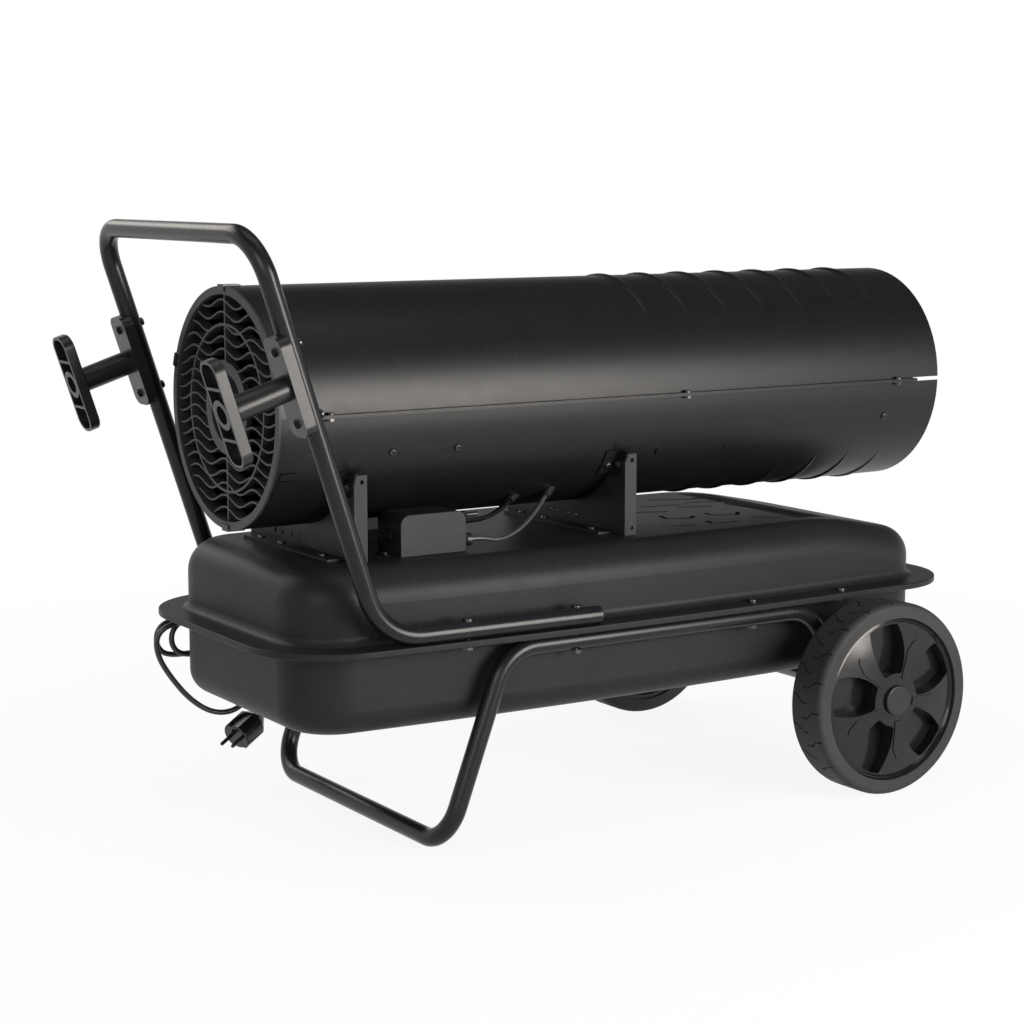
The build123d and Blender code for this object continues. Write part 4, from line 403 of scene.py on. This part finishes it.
# ---- mains cord --------------------------------------------------------------------------------
def hank_points():
    """Control points of the hank: two on each straight run and a few round each end."""
    radius = (hank_top_z - hank_bottom_z) / 2
    middle_z = hank_bottom_z + radius
    step_angle = math.pi / hank_end_steps
    reach = radius / math.cos(step_angle / 2)
    slope = hank_run_drift / (hank_right_x[0] - hank_left_x[0])
    points = []

    def run(start_x, end_x, z, start_y, end_y):
        """Adds two points of a straight run."""
        for share in (0.2, 0.8):
            points.append(at(start_x + (end_x - start_x) * share, start_y + (end_y - start_y) * share, z))

    def end(x, side, start_y):
        """Adds the points of a half turn round the left end, side -1, or the right end, side 1."""
        for step in range(hank_end_steps):
            angle = step_angle * (step + 0.5)
            end_y = start_y - hank_end_drift * (step + 0.5) / hank_end_steps
            points.append(at(x + side * math.sin(angle) * reach, end_y,
                             middle_z - side * math.cos(angle) * reach))

    y = hank_outer_y
    start_x, start_y = hank_start_x, y - slope * (hank_right_x[0] - hank_start_x)
    for left, right in zip(hank_left_x, hank_right_x):
        run(start_x, left, hank_top_z, start_y, y - hank_run_drift)
        end(left, -1, y - hank_run_drift)
        run(left, right, hank_bottom_z, y - hank_run_drift - hank_end_drift,
            y - hank_pitch + hank_end_drift)
        end(right, 1, y - hank_pitch + hank_end_drift)
        y -= hank_pitch
        start_x, start_y = right, y
    run(start_x, hank_end_x, hank_top_z, start_y, y - slope * (hank_right_x[-1] - hank_end_x))
    return points


def lead_points():
    """From the strain relief down past the tank's rim to the hank."""
    return [at(0.271, 0.156, 0.351), at(0.271, 0.181, 0.351), at(0.2705, 0.205, 0.338),
            at(0.2695, 0.222, 0.3175), at(0.2675, 0.232, 0.293), at(0.2625, 0.236, 0.267),
            at(0.253, 0.235, 0.244), at(0.236, 0.2295, 0.2295), at(0.212, 0.220, 0.2235),
            at(0.184, 0.2078, hank_top_z)]


def tail_points():
    """From the hank down, along and up in a loop into the plug."""
    way = Vector(plug_way).normalized()
    rear = at(*plug_face) - way * plug_reach
    return [at(0.008, 0.1897, hank_top_z), at(-0.010, 0.1945, 0.207), at(-0.008, 0.196, 0.181),
            at(0.010, 0.1975, 0.151), at(0.037, 0.1985, 0.118), at(0.068, 0.198, 0.097),
            at(0.100, 0.1965, 0.097), at(0.1226, 0.1955, 0.120), at(0.1247, 0.196, 0.150),
            at(0.1468, 0.198, 0.167), at(0.1744, 0.203, 0.1625), at(0.189, 0.208, 0.1385),
            rear - way * plug_approach, rear + way * plug_overlap]


def spline_curve(name, points, radius, material):
    """A round cord on one smooth spline through its control points."""
    data = bpy.data.curves.new(name, "CURVE")
    data.dimensions = "3D"
    data.bevel_depth = radius
    data.bevel_resolution = 5
    data.resolution_u = 10
    data.use_fill_caps = True
    spline = data.splines.new("NURBS")
    spline.points.add(len(points) - 1)
    for control, point in zip(spline.points, points):
        control.co = (*point, 1.0)
    spline.order_u = 3
    spline.use_endpoint_u = True
    data.materials.append(material)
    piece = bpy.data.objects.new(name, data)
    bpy.context.scene.collection.objects.link(piece)
    return piece


cord = spline_curve("mains_cord_sheath", lead_points() + hank_points() + tail_points(), cord_diameter / 2,
                    cable_sheath)
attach(cord, "heater")
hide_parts("mains_cord", "cord_hank")


# ---- stage -------------------------------------------------------------------------------------
def seen(tree):
    """1 for rays that show the background: from the camera, off gloss and through glass."""
    path = tree.nodes.new("ShaderNodeLightPath")
    total = path.outputs["Is Camera Ray"]
    for name in ("Is Glossy Ray", "Is Transmission Ray"):
        total = combine(tree, "MAXIMUM", total, path.outputs[name])
    return total


def pale_floor():
    """Floor that looks white from the camera and still takes the object's shadow."""
    mesh = bpy.data.meshes.new("floor")
    corners = [(x * floor_half, y * floor_half, 0) for x, y in ((-1, -1), (1, -1), (1, 1), (-1, 1))]
    mesh.from_pydata(corners, [], [(0, 1, 2, 3)])
    floor = bpy.data.objects.new("floor", mesh)
    bpy.context.scene.collection.objects.link(floor)
    material = bpy.data.materials.new("pale_floor")
    material.use_nodes = True
    tree = material.node_tree
    surface = tree.nodes["Principled BSDF"]
    surface.inputs["Base Color"].default_value = (floor_tone, floor_tone, floor_tone, 1.0)
    surface.inputs["Roughness"].default_value = 0.9
    glow = tree.nodes.new("ShaderNodeEmission")
    coordinates = tree.nodes.new("ShaderNodeTexCoord")
    distance = tree.nodes.new("ShaderNodeVectorMath")
    distance.operation = "LENGTH"
    tree.links.new(coordinates.outputs["Object"], distance.inputs[0])
    spread = remap(tree, distance.outputs["Value"], floor_glow, 1.0, *floor_glow_radii)
    mix = tree.nodes.new("ShaderNodeMixShader")
    tree.links.new(combine(tree, "MULTIPLY", seen(tree), spread), mix.inputs["Fac"])
    tree.links.new(surface.outputs["BSDF"], mix.inputs[1])
    tree.links.new(glow.outputs["Emission"], mix.inputs[2])
    tree.links.new(mix.outputs["Shader"], tree.nodes["Material Output"].inputs["Surface"])
    mesh.materials.append(material)


def studio_world():
    """White to the camera; gloss sees it white round the horizon and higher up towards the inlet end."""
    world = bpy.data.worlds.new("studio")
    world.use_nodes = True
    tree = world.node_tree
    coordinates = tree.nodes.new("ShaderNodeTexCoord")
    height = tree.nodes.new("ShaderNodeVectorMath")
    height.operation = "DOT_PRODUCT"
    height.inputs[1].default_value = gloss_up
    tree.links.new(coordinates.outputs["Generated"], height.inputs[0])
    surround = remap(tree, height.outputs["Value"], 1.0, ceiling_gloss, *ceiling_heights)
    path = tree.nodes.new("ShaderNodeLightPath")
    strength = between(tree, seen(tree), tuple(world_light * c for c in cool_light), surround)
    strength = between(tree, path.outputs["Is Camera Ray"], strength, (1.0, 1.0, 1.0))
    tree.links.new(strength, tree.nodes["Background"].inputs["Color"])
    bpy.context.scene.world = world


def soft_box(name, place, aim, width, height, watts, colour):
    """A rectangular area light turned from its place to its aim."""
    data = bpy.data.lights.new(name, "AREA")
    data.color = colour
    data.shape = "RECTANGLE"
    data.size = width
    data.size_y = height
    data.energy = watts
    lamp = bpy.data.objects.new(name, data)
    lamp.location = place
    lamp.rotation_euler = (Vector(aim) - Vector(place)).to_track_quat("-Z", "Y").to_euler()
    bpy.context.scene.collection.objects.link(lamp)


def photo_camera():
    """The photograph's place, direction and angle of view."""
    data = bpy.data.cameras.new("camera")
    data.sensor_width = sensor_mm
    data.lens = camera_focal_px * sensor_mm / photo_px
    camera = bpy.data.objects.new("camera", data)
    camera.location = at(*camera_place)
    camera.rotation_euler = (math.radians(90 - camera_elevation), 0, math.radians(camera_azimuth))
    bpy.context.scene.collection.objects.link(camera)
    bpy.context.scene.camera = camera


pale_floor()
studio_world()
soft_box("overhead", place=(-0.2, -0.3, 2.6), aim=(0.0, 0.0, 0.4), width=2.0, height=1.2, watts=10,
         colour=cool_light)
soft_box("key_right", place=(1.0, -2.6, 0.86), aim=(0.0, -0.1, 0.4), width=1.3, height=1.4, watts=104,
         colour=warm_light)
soft_box("fill_left", place=(-2.2, -1.8, 1.3), aim=(-0.3, 0.0, 0.4), width=1.2, height=1.2, watts=18,
         colour=cool_light)
soft_box("key_back", place=(-1.2, 2.2, 2.1), aim=(0.0, 0.0, 0.4), width=2.0, height=1.4, watts=34,
         colour=warm_light)
photo_camera()
bpy.context.scene.view_settings.view_transform = "Standard"
